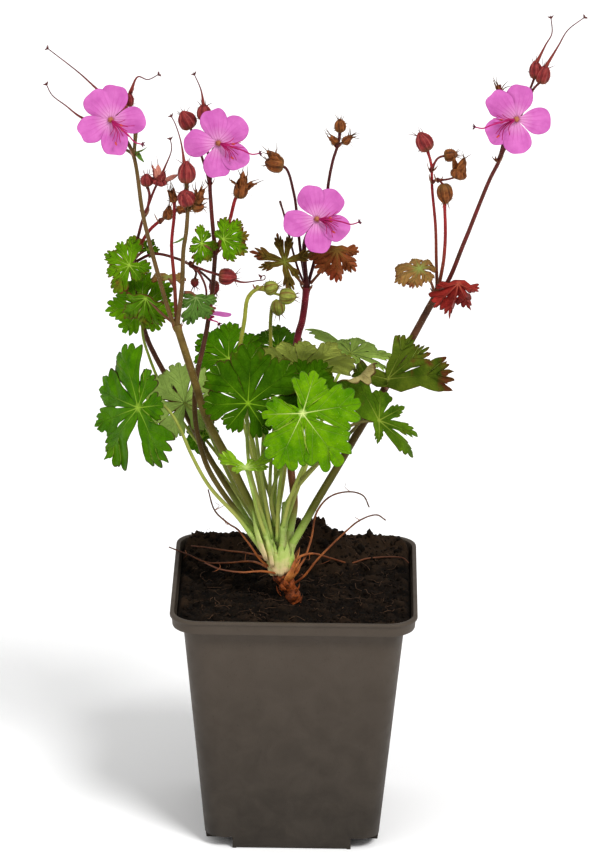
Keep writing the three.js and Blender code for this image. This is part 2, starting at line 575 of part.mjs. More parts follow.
const flowerStems = {
  stem_a: {
    finish: stemBrown,
    stems: [
      [[[-16.5, -15, 30], [-22.5, -11, 38.5], [-33.5, -1, 53.5], [-47.5, 14, 75], [-55.5, 16, 91],
        [-58.5, 15, 105.5], [-61, 10, 120.5]], 1.1],
      [[[-61, 10, 120.5], [-58.5, 9, 130], [-56.5, 8, 138], [-55, 8, 141.5], [-54, 8, 148],
        [-55, 8, 151.5]], 0.6],
      [[[-55.5, 8, 140.5], [-52.5, 8, 149], [-50.5, 8, 153.5]], 0.5],
      [[[-61, 10, 120.5], [-54, 7, 134.5], [-49.5, 6, 139], [-47, 5, 141]], 0.7],
      [[[-50, 6, 138.5], [-45.5, 5, 142.5], [-43, 5, 143.5]], 0.5],
      [[[-61, 10, 120.5], [-52.5, 9, 125], [-44, 7, 124], [-38.5, 4, 122.5], [-32, 1, 121],
        [-27.5, 0, 120]], 0.55],
      [[[-39, 4, 123], [-33.5, 8, 117], [-31, 9, 114]], 0.5],
      [[[-39, 4, 123], [-37, 5, 119.5], [-37.5, 6, 116.5]], 0.45],
      [[[-39, 4, 122.5], [-36, 1, 121], [-33.5, -1, 116.5], [-33, -1.5, 113]], 0.45, 0.8, 'flower_5'],
    ],
    buds: [
      [[-55, 8, 151.5], [0, 0, 1], 4.6, 4.6],
      [[-50.5, 8, 152.5], [-0.5, 0, 1], 6.6, 3], [[-50.5, 8, 152.5], [0.9, 0, 0.8], 6.6, 3],
      [[-47.5, 5, 140], [0.2, 0, 1], 5, 4.2], [[-43.5, 5, 143], [1, 0, 0.4], 4.2, 3.2],
      [[-28, 0, 120], [1, 0, -0.1], 6.6, 5.8], [[-30.5, 9, 114.5], [0, 0, -1], 5.4, 3.6],
      [[-37.5, 6, 116.5], [0, 0, -1], 3.4, 2.8],
    ],
    styles: [
      [[-26, 0, 120], [-20.5, -1, 118], [-14.5, -2, 119], [-12, -2, 119.5], [-12, -2, 121],
        [-13.5, -2, 120.5]],
      [[-50.5, 8, 153], [-48.5, 8, 158], [-46, 8, 165], [-46.5, 8, 169]],
    ],
  },
  stem_b: {
    finish: stemOlive,
    stems: [
      [[[-12, -17, 29], [-17.5, -18, 41], [-24, -17, 54.5], [-32.5, -13, 70], [-37.5, -10, 85],
        [-43.5, -8, 103.5]], 1.6, 0.85],
      [[[-43.5, -8, 102.5], [-45.5, -8, 106.5], [-49.5, -9, 120.5], [-52, -10, 130.5],
        [-55.5, -12, 146.5], [-59, -14, 170], [-63, -13, 177]], 0.85, 0.75, 'flower_1'],
      [[[-58.5, -14, 169.5], [-59, -9, 179], [-62.5, -8, 184]], 0.5],
      [[[-58.5, -14, 169.5], [-64, -9, 171.5], [-70, -8, 177.5]], 0.5],
      [[[-58.5, -14, 169.5], [-58, -7, 178.5], [-60.5, -6, 186]], 0.45],
      [[[-43.5, -8, 102.5], [-44.5, -5, 119.5], [-45.5, -5, 133], [-44.5, -6, 145],
        [-44.5, -7, 150.5]], 0.7],
      [[[-43.5, -8, 102.5], [-41.5, -11, 119.5], [-41, -12, 133.5], [-40, -12, 140.5],
        [-39.5, -12, 150], [-40, -12, 159]], 0.85],
      [[[-39.5, -12, 148.5], [-36.5, -12, 150.5], [-36, -12, 152.5]], 0.5],
    ],
    buds: [
      [[-40, -12, 159.5], [0, 0, 1], 8, 6.2], [[-39.5, -12.5, 151.5], [-0.3, -0.4, 1], 6, 6.4],
      [[-44.5, -7, 150.5], [-0.3, 0, 1], 4.4, 3.6], [[-36, -12, 151.5], [0.3, 0, 1], 5.6, 3.8],
      [[-37.5, -12, 149.5], [1, 0.4, 0], 4.6, 3.6], [[-62.5, -8, 183.5], [-0.6, 0, 0.6], 6, 5],
      [[-70, -8, 177.5], [-0.8, 0, 0.3], 6, 5], [[-60.5, -6, 185.5], [0, 0, 1], 5.2, 3],
    ],
    styles: [
      [[-64.5, -8, 186], [-71, -8, 191], [-78, -8, 197.5], [-89.5, -9, 207]],
      [[-72, -8, 179], [-78, -8, 181.5], [-83, -8, 185.5], [-88, -8, 189.5], [-90, -8, 193.5]],
      [[-40.5, -12, 164], [-42, -12, 174], [-44, -12, 180.5], [-45.5, -12, 183.5]],
    ],
  },
  stem_c: {
    finish: stemBrown,
    stems: [
      [[[-14, -18, 26.5], [-22, -17, 36.5], [-28, -15.5, 44.5], [-32.5, -13, 52], [-36, -10, 63.5],
        [-37, -7, 73], [-36.5, -4, 81.5], [-33, 2, 98.5], [-31, 4, 113], [-30, 5, 128]], 1],
      [[[-30, 5, 127.5], [-30.5, 5, 132], [-31.5, 4.5, 143.5], [-32, 4, 155], [-31, 5, 162]],
        0.8, 0.8, 'flower_2'],
      [[[-32, 4, 153.5], [-33, 8, 165], [-34.5, 9, 177]], 0.5],
      [[[-32, 4, 153.5], [-36, 9, 164.5], [-39.5, 10, 173]], 0.5],
      [[[-30, 5, 127.5], [-25, 6, 139], [-23, 6, 147], [-21.5, 6, 150]], 0.75],
    ],
    buds: [
      [[-34.5, 9, 176.5], [0, 0, 1], 6, 5], [[-39.5, 10, 173], [-0.5, 0, 1], 7, 6.4],
      [[-21.5, 6, 148.5], [0.2, 0, 1], 9, 5.6],
    ],
    styles: [[[-34.5, 9, 180.5], [-35.5, 9, 187], [-38, 9, 193]]],
  },
  stem_d: {
    finish: stemCrimson,
    stems: [
      [[[-2, -13, 25.5], [-0.5, -4, 33.5], [-2, 5, 45], [-2.5, 16, 67], [0, 22, 90], [1.5, 23, 95.5],
        [3, 24, 108]], 1.4, 0.9],
      [[[3, 24, 107.5], [2, 22, 125], [3.5, 20, 130.5]], 0.9, 0.8, 'flower_3'],
      [[[3, 24, 107.5], [0.5, 27, 121.5], [-1, 27, 136], [-2, 25, 143.5], [-5, 24, 153.5],
        [-7.5, 24, 154.5]], 0.6],
      [[[3, 24, 107.5], [6, 27, 118.5], [9.5, 27, 135], [10.5, 25, 147.5], [12, 24, 156.5],
        [14, 24, 163.5], [14.5, 24, 168]], 0.65],
      [[[13.5, 24, 162], [12.5, 24, 164]], 0.4], [[[13.5, 24, 162], [16, 24, 164]], 0.4],
      [[[3, 24, 107.5], [0, 21, 115.5], [-2.5, 20, 124.5], [-5.5, 19, 137.5], [-7, 19, 142.5]], 0.45],
    ],
    buds: [
      [[-6.5, 24, 154.5], [-1, 0, 0.2], 7, 6], [[-8.5, 24, 156.5], [-0.6, 0, 1], 5, 4.4],
      [[14.5, 24, 168], [0, 0, 1], 5, 4.2],
      [[13, 24, 163.5], [-0.6, 0, 0.8], 4, 3], [[16, 24, 163.5], [0.7, 0, 0.7], 4.4, 3.4],
    ],
  },
  stem_e: {
    finish: stemBrown,
    stems: [
      [[[-1, -17, 23], [1.5, -17, 27.5], [8, -11, 38], [15, -5, 48.5], [23, 0, 61.5], [33, 4, 78],
        [41.5, 6, 94.5], [48, 6, 107.5], [51, 6, 113]], 1.5, 0.85],
      [[[50.5, 6, 112.5], [53.5, 6, 115.5], [60, 5, 132.5], [68.5, 2, 157], [72, 1, 165],
        [74.5, 0.5, 173]], 0.85, 0.75, 'flower_4'],
      [[[71.5, 1, 164.5], [78, 4, 177], [82, 4, 189.5], [84, 4, 195.5]], 0.5],
      [[[82, 4, 188.5], [84.5, 3, 192], [86, 3, 193.5]], 0.45],
      [[[50.5, 6, 112.5], [50, 8, 124.5], [49.5, 8, 137], [48, 8, 151.5], [47.5, 8, 160.5],
        [46, 8, 166]], 0.6],
      [[[47.5, 8, 158.5], [50, 8, 163], [53, 8, 164]], 0.45],
      [[[50.5, 6, 112.5], [52.5, 3, 125.5], [53, 3, 135.5], [52.5, 3, 147.5]], 0.7],
      [[[52.5, 3, 143.5], [54.5, 2, 154], [57, 2, 158]], 0.45],
      [[[71.5, 1, 164.5], [73.5, 5, 174.5], [71.5, 5, 191.5]], 0.4],
    ],
    buds: [
      [[46, 8, 166.5], [-0.5, 0, 1], 7.4, 6.2], [[52.5, 8, 164], [1, 0, 0.1], 5, 4.4],
      [[57, 2, 158], [0.6, 0, 0.8], 8, 6.6], [[52.5, 3, 147], [0.1, 0, 1], 7.6, 5.4],
      [[84, 4, 195], [0, 0, 1], 6.6, 4.6], [[86, 3, 193.5], [0.3, 0, 1], 7, 5],
    ],
    styles: [
      [[84, 4, 199.5], [87.5, 4, 207], [89.5, 4, 211], [89, 4, 217]],
      [[87, 3, 198], [92, 3, 207], [95, 3, 212.5], [101, 3, 217.5]],
    ],
  },
  stem_f: {
    finish: stemOlive,
    stems: [
      [[[-9, -15, 29], [-11.5, -16, 41.5], [-15, -14, 58], [-19.5, -13, 77], [-21, -11, 91.5],
        [-19, -9, 106.5], [-18, -8, 114], [-16, -7, 116.5], [-13.5, -6, 117.5], [-10.5, -5, 117]], 0.9],
      [[[-14.5, -6, 117.5], [-8.5, -6, 115.5], [-5.5, -5, 114.5]], 0.5],
    ],
    buds: [[[-11.5, -5, 117], [1, 0, 0.2], 5.4, 5], [[-6, -5, 114.5], [1, 0, -0.1], 6.4, 5.6]],
  },
  stem_g: {
    finish: stemOlive,
    stems: [[[[-8, -5, 29.5], [-7.5, 5, 43.5], [-9, 14, 67.5], [-10, 20, 89], [-10, 19, 98],
      [-9, 17, 104], [-7.5, 17, 105]], 0.8]],
    buds: [[[-7.5, 17, 104.5], [0.1, 0, -1], 6, 5]],
  },
};

Object.entries(flowerStems).forEach(([name, shape]) => {
  const [route, radius] = shape.stems[0];
  standOnCrown(route, radius, stemSteps(route), radius > mainStem ? 5 : 4);
  addMesh(plant, name, toGeometry(stemSolid(shape)), shape.finish);
});

// ---------------------------------------------------------------- crown

// The pale growing point: a base grows out of it to meet the foot of every stalk, face to face,
// with two sheaths of new leaves. It is cut clear of the stalks and roots that pass through it.
const heartSize = [5.6, 4.8, 6.4];
const heartRise = 3;
const baseSwell = 1.5;
const socketGap = touchGap + 0.1;

const stalkBase = ({ route, radius }) => {
  const foot = vector(route[0]);
  const end = foot.clone().sub(vector(route[1])).setLength(touchGap).add(foot);
  return stalk([crownFoot.toArray(), end.toArray()], radius * baseSwell, { steps: 1, tip: 0.68 });
};

const makeCrown = () => {
  const heart = new THREE.SphereGeometry(1, 8, 5).rotateX(Math.PI / 2).scale(...heartSize)
    .translate(crownFoot.x, crownFoot.y, crownFoot.z + heartRise);
  const sheaths = [
    bud([-13, -20, 25.5], [-0.4, 0, 1], 12, 4.4),
    bud([-8.5, -20, 22.5], [-0.2, -0.1, 1], 11, 4.6),
  ];
  return join([heart, ...feet.map(stalkBase), ...sheaths]);
};
const socketOf = ({ route, radius, steps, sides }) => (
  stalk(route, radius + socketGap, { steps, sides }));
const sockets = join(feet.map(socketOf)).add(makeRootstock(socketGap));
addMesh(plant, 'crown', toGeometry(makeCrown().subtract(sockets)), finish(0xb9c46e, 0.5));

// ---------------------------------------------------------------- leaves on the stems

const bractGreen = finish(0x63a324, 0.55);
const bractBrown = finish(0x6b3f22, 0.6);
const bractCrimson = finish(0x93303a, 0.6);

const stemLeaves = {
  bract_a_front: {
    finish: bractGreen,
    route: [[-59.5, 8, 123.5], [-60, 4, 123], [-61, 3, 122.5]],
    size: 10.8,
    face: { turn: -15, tilt: 15, roll: -70 },
    lengths: [0.8, 0.9, 1, 1, 1, 0.9, 0.8],
  },
  bract_a_back: {
    finish: bractGreen,
    route: [[-60, 11.5, 121.5], [-57.5, 14, 123.5], [-55, 14, 125]],
    size: 4.6,
    face: { turn: 0, tilt: 10, roll: 30 },
    lengths: [0.8, 1, 1, 1, 0.8],
    step: 60,
  },
  bract_b_left: {
    finish: bractBrown,
    route: [[-44.5, -6, 103.5], [-49.5, -4, 107], [-55, -3, 112]],
    size: 14,
    face: { turn: -20, tilt: -10, roll: 190 },
    lengths: [0.6, 0.9, 1, 1, 0.7],
    step: 34,
    crease: 0.2,
  },
  bract_b_curled: {
    finish: bractBrown,
    route: [[-44.5, -4.5, 117], [-46.5, 0, 116], [-47.5, 2, 115]],
    size: 8,
    radius: 0.5,
    face: { turn: -20, tilt: 60, roll: -80 },
    lengths: [0.7, 1, 0.7],
    step: 34,
    crease: 0.2,
  },
  bract_c_left: {
    finish: bractGreen,
    route: [[-31, 4, 128], [-32, 2, 130], [-33.5, 1, 132]],
    size: 7.6,
    radius: 0.5,
    face: { turn: 25, tilt: 10, roll: 200 },
    lengths: [0.5, 0.65, 0.9, 1, 1, 1, 0.9],
  },
  bract_c_right: {
    finish: bractGreen,
    route: [[-28.5, 3.5, 130], [-27, -1, 132.5], [-25.5, -3.5, 135]],
    size: 8.4,
    radius: 0.5,
    face: { turn: -20, tilt: 10, roll: 110 },
    lengths: [0.8, 0.9, 1, 1, 1, 0.9, 0.7],
  },
  bract_b_low: {
    finish: bractGreen,
    route: [[-40.5, -10.5, 117], [-38.5, -9, 116.5], [-36.5, -7, 114]],
    size: 11.5,
    radius: 0.5,
    face: { turn: 10, tilt: -6, roll: 195 },
    lengths: [0.7, 0.9, 1, 0.6, 0.45],
    step: 44,
  },
  bract_d_left: {
    finish: bractBrown,
    route: [[1.5, 21.5, 110], [-1.5, 18, 115], [-5, 16, 120.5]],
    size: 12,
    face: { turn: -10, tilt: 20, roll: -80 },
    lengths: [0.7, 0.8, 0.9, 1, 0.85, 0.75, 0.7],
    cut: 0.32,
  },
  bract_d_right: {
    finish: bractBrown,
    route: [[4.5, 23, 110], [9, 20.5, 116.5], [14, 19.5, 124]],
    size: 12.5,
    face: { turn: 15, tilt: 5, roll: 180 },
    lengths: [0.6, 0.9, 1, 0.9, 0.6],
    step: 40,
  },
  bract_e_left: {
    finish: bractBrown,
    route: [[49.5, 4.5, 113.5], [47, 2, 120], [44, 1, 123.5]],
    size: 11.5,
    face: { turn: -15, tilt: 30, roll: -80 },
    lengths: [0.7, 0.85, 1, 1, 0.8, 0.7, 0.6],
  },
  bract_e_right: {
    finish: bractCrimson,
    route: [[52, 4, 114.5], [54.5, 1, 117.5], [58, -1, 118.5]],
    size: 14,
    face: { turn: 20, tilt: -5, roll: 190 },
    lengths: [0.6, 0.8, 1, 0.9, 0.6],
    step: 36,
    crease: 0.22,
  },
  leaf_08_on_stem_e: {
    finish: leafGreen,
    route: [[32.5, 1.5, 77], [32.5, -0.5, 79.5], [33, -2, 82]],
    size: 22,
    radius: 0.6,
    face: { turn: -20, tilt: 20, roll: 0 },
    lengths: [0.3, 0.8, 0.5, 0.5, 0.92, 1.15, 0.3],
    step: 40,
  },
};

Object.entries(stemLeaves).forEach(([name, shape]) => {
  addMesh(plant, name, toGeometry(leafSolid({ edge: bractEdge, radius: 0.55, steps: 3, ...shape })),
    shape.finish);
});

// ---------------------------------------------------------------- flowers

const petalPink = finish(0xe273d6, 0.5);
const stamenMagenta = finish(0xa8246e, 0.5);

const petalCup = 0.09;
const petalSag = 0.06;
const petalRise = (length, share) => petalCup * (length ** 2 / petalRadius) - petalSag * length * share;

// The wider the gap between two petals, the deeper it goes: half the gap is in degrees.
const closedGap = 23;
const petalCleft = (halfGap) => THREE.MathUtils.clamp(0.93 - 0.06 * (halfGap - closedGap), 0.22, 0.92);

const makeCorolla = (angles, lengths) => blade({
  angles,
  lengths: lengths ?? angles.map(() => petalRadius),
  edge: petalEdge,
  cut: petalCleft,
  rise: petalRise,
  thickness: petalThickness,
  ring: 0.3,
});

// The ovary stands on the petals, and the stamens and the longer style all lean one way from it.
const ovaryRadius = 1.2;
const stamenSpread = 26;
const stamenReach = 7.5;
const styleReach = 13.5;
const makeStamens = (lean, faded = 1) => {
  const ovary = new THREE.OctahedronGeometry(ovaryRadius).translate(0, 0, touchGap + ovaryRadius);
  const threadRoute = (angle, reach, bendHeight, tipHeight) => {
    const [x, y] = [faded * reach * Math.sin(angle), faded * reach * Math.cos(angle)];
    const bend = 0.4;
    return [[0, 0, ovaryRadius], [bend * x, bend * y, faded * bendHeight], [x, y, faded * tipHeight]];
  };
  const threads = [...Array(stamenCount).keys()].map((place) => {
    const angle = radians(lean + (place - (stamenCount - 1) / 2) * stamenSpread);
    const reach = stamenReach + 1.2 * (place % 2);
    return stalk(threadRoute(angle, reach, 3.4, 5), 0.34, { sides: 3, steps: 2, tip: 2 });
  });
  const pistil = stalk(threadRoute(radians(lean), styleReach, 5.6, 6.6), 0.38, { sides: 3, steps: 3 });
  return join([ovary, ...threads, pistil]);
};

Object.entries(flowers).forEach(([name, { place, face, petals, lean, lengths, faded }]) => {
  const head = new THREE.Group();
  facing(face, place).decompose(head.position, head.quaternion, head.scale);
  plant.add(head);
  addMesh(head, `${name}_petals`, makeCorolla(petals, lengths), petalPink);
  addMesh(head, `${name}_stamens`, toGeometry(makeStamens(lean, faded)), stamenMagenta);
});

const geranium = new THREE.Group();
geranium.add(holder, plant);

export default geranium;
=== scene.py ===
"""A hardy geranium in a tall square nursery pot: its fine surfaces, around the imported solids."""

import math

import bpy
import numpy as np
from mathutils import Matrix, Vector


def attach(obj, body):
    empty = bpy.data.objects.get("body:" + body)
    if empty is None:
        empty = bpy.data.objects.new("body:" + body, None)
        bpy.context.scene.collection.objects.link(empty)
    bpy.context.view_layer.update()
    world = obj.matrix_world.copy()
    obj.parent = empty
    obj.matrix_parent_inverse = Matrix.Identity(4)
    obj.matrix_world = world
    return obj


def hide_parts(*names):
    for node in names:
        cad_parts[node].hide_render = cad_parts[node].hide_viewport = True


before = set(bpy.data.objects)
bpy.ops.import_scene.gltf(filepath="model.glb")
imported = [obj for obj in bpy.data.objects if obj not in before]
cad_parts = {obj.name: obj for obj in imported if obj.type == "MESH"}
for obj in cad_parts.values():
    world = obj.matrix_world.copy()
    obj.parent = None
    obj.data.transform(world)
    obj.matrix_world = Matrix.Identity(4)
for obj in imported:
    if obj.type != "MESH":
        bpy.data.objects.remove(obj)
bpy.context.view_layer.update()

# -------- nursery pot
# A thin-walled square pot of taupe-grey polypropylene, injection moulded in one piece: a body
# that tapers to its foot, a wide rim band to lift it by, a lip, and a raised and drained corner
# at each side of the foot. The mould leaves it matt, a little paler where edges catch dust.

MM = 0.001
POT_HEIGHT = 95
RIM_HALF = 45
RIM_DEPTH = 5.3
FOOT_HALF = 31.8
WALL = 1.4
TAPER = 0.0955
RIM_FOOT = POT_HEIGHT - RIM_DEPTH
FLOOR_TOP = 1.6
NOTCH_HEIGHT = 4.5
NOTCH_SIZE = 12
DRAIN_RADIUS = 2.2
DRAIN_LENGTH = 12
ARC_STEPS = 10
SIDE_STEPS = 12
QUARTERS = [(1, 1), (-1, 1), (-1, -1), (1, -1)]


def body_half(height):
    """Half the width of the tapering body, outside, at this height."""
    return FOOT_HALF + TAPER * height


def corner_round(height):
    """The radius of the body's upright corners at this height."""
    return 7 + 3 * height / POT_HEIGHT


def square_ring(half, height):
    """A ring of points round a square with rounded corners, in mm."""
    ring = []
    round_radius = corner_round(height)
    for quarter, (sign_x, sign_y) in enumerate(QUARTERS):
        middle = (sign_x * (half - round_radius), sign_y * (half - round_radius))
        for step in range(ARC_STEPS + 1):
            angle = math.radians(90 * (quarter + step / ARC_STEPS))
            ring.append((middle[0] + round_radius * math.cos(angle),
                         middle[1] + round_radius * math.sin(angle), height))
        start = np.array(ring[-1])
        next_x, next_y = QUARTERS[(quarter + 1) % 4]
        turned = math.radians(90 * (quarter + 1))
        end = np.array((next_x * (half - round_radius) + round_radius * math.cos(turned),
                        next_y * (half - round_radius) + round_radius * math.sin(turned), height))
        for step in range(1, SIDE_STEPS):
            ring.append(tuple(start + (end - start) * step / SIDE_STEPS))
    return np.array(ring)


def grid_faces(rings, columns, closed=True):
    """Quads between the rows of a grid of points, facing outwards on a tube that runs upwards."""
    row = np.arange(rings - 1)[:, None]
    column = np.arange(columns if closed else columns - 1)[None, :]
    here = row * columns + column
    beside = row * columns + (column + 1) % columns
    return np.stack([here, beside, beside + columns, here + columns], -1).reshape(-1, 4)


def fan(centre, ring, flip=False):
    """Triangles from a centre point to a closed ring of points."""
    ring = np.asarray(ring)
    after = np.roll(ring, -1)
    sides = (after, ring) if flip else (ring, after)
    return np.stack([np.full(len(ring), centre), *sides], -1)


def shell(points, faces, skin=0, **marks):
    """One closed surface of a piece: points in mm, arrays of faces, and a value per point."""
    return {"points": np.asarray(points, float), "faces": faces, "skin": skin, "marks": marks}


def stack(rings, low, high, skin=0, **marks):
    """A closed surface from rings of points, with a fan to a point over each end."""
    columns = len(rings[0])
    last = len(rings) * columns
    faces = [grid_faces(len(rings), columns), fan(last, range(columns), True),
             fan(last + 1, range(last - columns, last))]
    return shell(np.concatenate([*rings, [low], [high]]), faces, skin, **marks)


def build_mesh(name, shells, skins):
    """Makes one mesh of all the shells, with their marks as attributes for the materials."""
    points = np.concatenate([part["points"] for part in shells]) * MM
    corners, sizes, skin_of_face = [], [], []
    first = 0
    for part in shells:
        for faces in part["faces"]:
            corners.append((faces + first).ravel())
            sizes.append(np.full(len(faces), faces.shape[1]))
            skin_of_face.append(np.full(len(faces), part["skin"]))
        first += len(part["points"])
    corners = np.concatenate(corners).astype(np.int32)
    sizes = np.concatenate(sizes)
    starts = np.concatenate([[0], np.cumsum(sizes)[:-1]]).astype(np.int32)
    mesh = bpy.data.meshes.new(name)
    mesh.vertices.add(len(points))
    mesh.vertices.foreach_set("co", points.astype(np.float32).ravel())
    mesh.loops.add(len(corners))
    mesh.loops.foreach_set("vertex_index", corners)
    mesh.polygons.add(len(starts))
    mesh.polygons.foreach_set("loop_start", starts)
    mesh.polygons.foreach_set("material_index", np.concatenate(skin_of_face).astype(np.int32))
    mesh.update(calc_edges=True)
    for mark in sorted({key for part in shells for key in part["marks"]}):
        values = [np.broadcast_to(part["marks"].get(mark, 0.0), len(part["points"]))
                  for part in shells]
        layer = mesh.attributes.new(mark, "FLOAT", "POINT")
        layer.data.foreach_set("value", np.concatenate(values).astype(np.float32))
    for skin in skins:
        mesh.materials.append(skin)
    mesh.shade_smooth()
    return mesh


def add_object(name, data):
    """Puts an object in the scene."""
    item = bpy.data.objects.new(name, data)
    bpy.context.scene.collection.objects.link(item)
    return item


def light_of(colour):
    """A colour as a painter reads it, 0 to 255, turned to the light that a shader needs."""
    linear = [((v / 255 + 0.055) / 1.055) ** 2.4 if v > 10.3 else v / 255 / 12.92 for v in colour]
    return (*linear, 1.0)


class Finish:
    """Builds one material, step by step, from noises and marks to its colour and relief."""

    def __init__(self, name, roughness, **sockets):
        self.skin = bpy.data.materials.new(name)
        self.skin.use_nodes = True
        self.nodes = self.skin.node_tree.nodes
        self.links = self.skin.node_tree.links
        self.shader = self.nodes["Principled BSDF"]
        self.shader.inputs["Roughness"].default_value = roughness
        for socket, value in sockets.items():
            self.shader.inputs[socket.replace("_", " ")].default_value = value
        self.place = self.nodes.new("ShaderNodeTexCoord").outputs["Object"]

    def link(self, value, socket):
        """Gives a socket its value: a colour, a number or what another node puts out."""
        if isinstance(value, tuple):
            socket.default_value = light_of(value)
        elif isinstance(value, (int, float)):
            socket.default_value = value
        else:
            self.links.new(value, socket)

    def noise(self, size, detail=3.0, distortion=0.0):
        """A cloudy value from 0 to 1 with lumps of about this size in mm."""
        node = self.nodes.new("ShaderNodeTexNoise")
        self.links.new(self.place, node.inputs["Vector"])
        node.inputs["Scale"].default_value = 1 / (size * MM)
        node.inputs["Detail"].default_value = detail
        node.inputs["Roughness"].default_value = 0.55
        node.inputs["Distortion"].default_value = distortion
        return node.outputs["Fac"]

    def cells(self, size, feature="F1"):
        """The distance to the nearest of many points, this far apart in mm."""
        node = self.nodes.new("ShaderNodeTexVoronoi")
        node.feature = feature
        self.links.new(self.place, node.inputs["Vector"])
        node.inputs["Scale"].default_value = 1 / (size * MM)
        return node.outputs["Distance"]

    def mark(self, name):
        """A value that the mesh holds for each of its points."""
        node = self.nodes.new("ShaderNodeAttribute")
        node.attribute_name = name
        return node.outputs["Fac"]

    def span(self, value, low, high, to_low=0.0, to_high=1.0):
        """Stretches the values from low to high over to_low to to_high, and holds them there."""
        node = self.nodes.new("ShaderNodeMapRange")
        self.link(value, node.inputs["Value"])
        for socket, number in zip(("From Min", "From Max", "To Min", "To Max"),
                                  (low, high, to_low, to_high)):
            node.inputs[socket].default_value = number
        return node.outputs["Result"]

    def combine(self, kind, first, second=0.0):
        """One sum, such as ADD or MULTIPLY, on two values."""
        node = self.nodes.new("ShaderNodeMath")
        node.operation = kind
        self.link(first, node.inputs[0])
        self.link(second, node.inputs[1])
        return node.outputs[0]

    def mix(self, share, first, second):
        """The first colour, with this share of the second in its place."""
        node = self.nodes.new("ShaderNodeMix")
        node.data_type = "RGBA"
        self.link(share, node.inputs["Factor"])
        self.link(first, node.inputs[6])
        self.link(second, node.inputs[7])
        return node.outputs[2]

    def mottle(self, size, detail, first, second, low=0.3, high=0.7, distortion=0.0):
        """Two colours in clouds of about this size in mm."""
        return self.mix(self.span(self.noise(size, detail, distortion), low, high), first, second)

    def tint(self, colour, tone, value, low, high, at_low=0.0, at_high=1.0):
        """Lays a tone over a colour, from its share at the low value to that at the high one."""
        return self.mix(self.span(value, low, high, at_low, at_high), colour, tone)

    def relief(self, height, depth):
        """Adds fine relief of this depth in mm to the surface."""
        node = self.nodes.new("ShaderNodeBump")
        node.inputs["Distance"].default_value = depth * MM
        self.links.new(height, node.inputs["Height"])
        self.links.new(node.outputs["Normal"], self.shader.inputs["Normal"])

    def done(self, colour, roughness=None):
        """Finishes the material with its colour, and its roughness where that varies."""
        self.links.new(colour, self.shader.inputs["Base Color"])
        if roughness is not None:
            self.links.new(roughness, self.shader.inputs["Roughness"])
        return self.skin


def pot_plastic():
    finish = Finish("pot_plastic", 0.5, Specular_IOR_Level=0.3)
    height = finish.mark("height")
    # Painted shade: the body's colour darkens from the rim band down to the foot.
    body = finish.tint((42, 37, 31), (76, 67, 58), height, -10.0, 88.0)
    streaks = finish.noise(9.0, 5.0, 0.6)
    body = finish.tint(body, (92, 83, 74), streaks, 0.35, 0.75, 0.0, 0.22)
    specks = finish.noise(1.1, 4.0)
    body = finish.tint(body, (50, 44, 38), specks, 0.62, 0.74, 0.0, 0.35)
    finish.relief(finish.noise(0.45, 2.0), 0.03)
    rough = finish.span(finish.noise(5.0), 0.3, 0.7, 0.42, 0.58)
    return finish.done(body, rough)


def box_shell(low, high):
    """A plain block between two corners, in mm, used only to cut or raise the pot's foot."""
    corners = np.array([(x, y, z) for z in (low[2], high[2]) for y in (low[1], high[1])
                        for x in (low[0], high[0])], float)
    quads = np.array([(0, 2, 3, 1), (4, 5, 7, 6), (0, 1, 5, 4), (2, 6, 7, 3),
                      (0, 4, 6, 2), (1, 3, 7, 5)])
    return shell(corners, [quads])


def drain_shell(place, sides=20):
    """A rod along Y that cuts one drain hole."""
    turns = np.linspace(0, 2 * math.pi, sides, endpoint=False)
    ring = np.stack([DRAIN_RADIUS * np.cos(turns), np.zeros(sides), DRAIN_RADIUS * np.sin(turns)], -1)
    ends = [np.array(place) + (0, reach, 0) for reach in (DRAIN_LENGTH / 2, -DRAIN_LENGTH / 2)]
    return stack([ring + end for end in ends], *ends)


def solid(name, shells):
    """A bare solid: the pot, or what is joined to it or cut out of it."""
    return add_object(name, build_mesh(name, shells, []))


def keep_changes(item):
    """Keeps the mesh that an object's modifiers make of it."""
    view = bpy.context.evaluated_depsgraph_get()
    result = bpy.data.meshes.new_from_object(item.evaluated_get(view))
    item.modifiers.clear()
    item.data = result


def carve(item, tool, operation):
    """Joins, cuts or trims one solid by another, which is then taken away."""
    change = item.modifiers.new("carve", "BOOLEAN")
    change.operation = operation
    change.solver = "EXACT"
    change.object = tool
    keep_changes(item)
    bpy.data.objects.remove(tool)


def corner_blocks(size, low, high):
    """A block at each corner of the foot, reaching 2 mm past it."""
    blocks = []
    for sign_x, sign_y in QUARTERS:
        near = FOOT_HALF + 2 - size
        far = FOOT_HALF + 2
        xs = sorted((sign_x * near, sign_x * far))
        ys = sorted((sign_y * near, sign_y * far))
        blocks.append(box_shell((xs[0], ys[0], low), (xs[1], ys[1], high)))
    return blocks


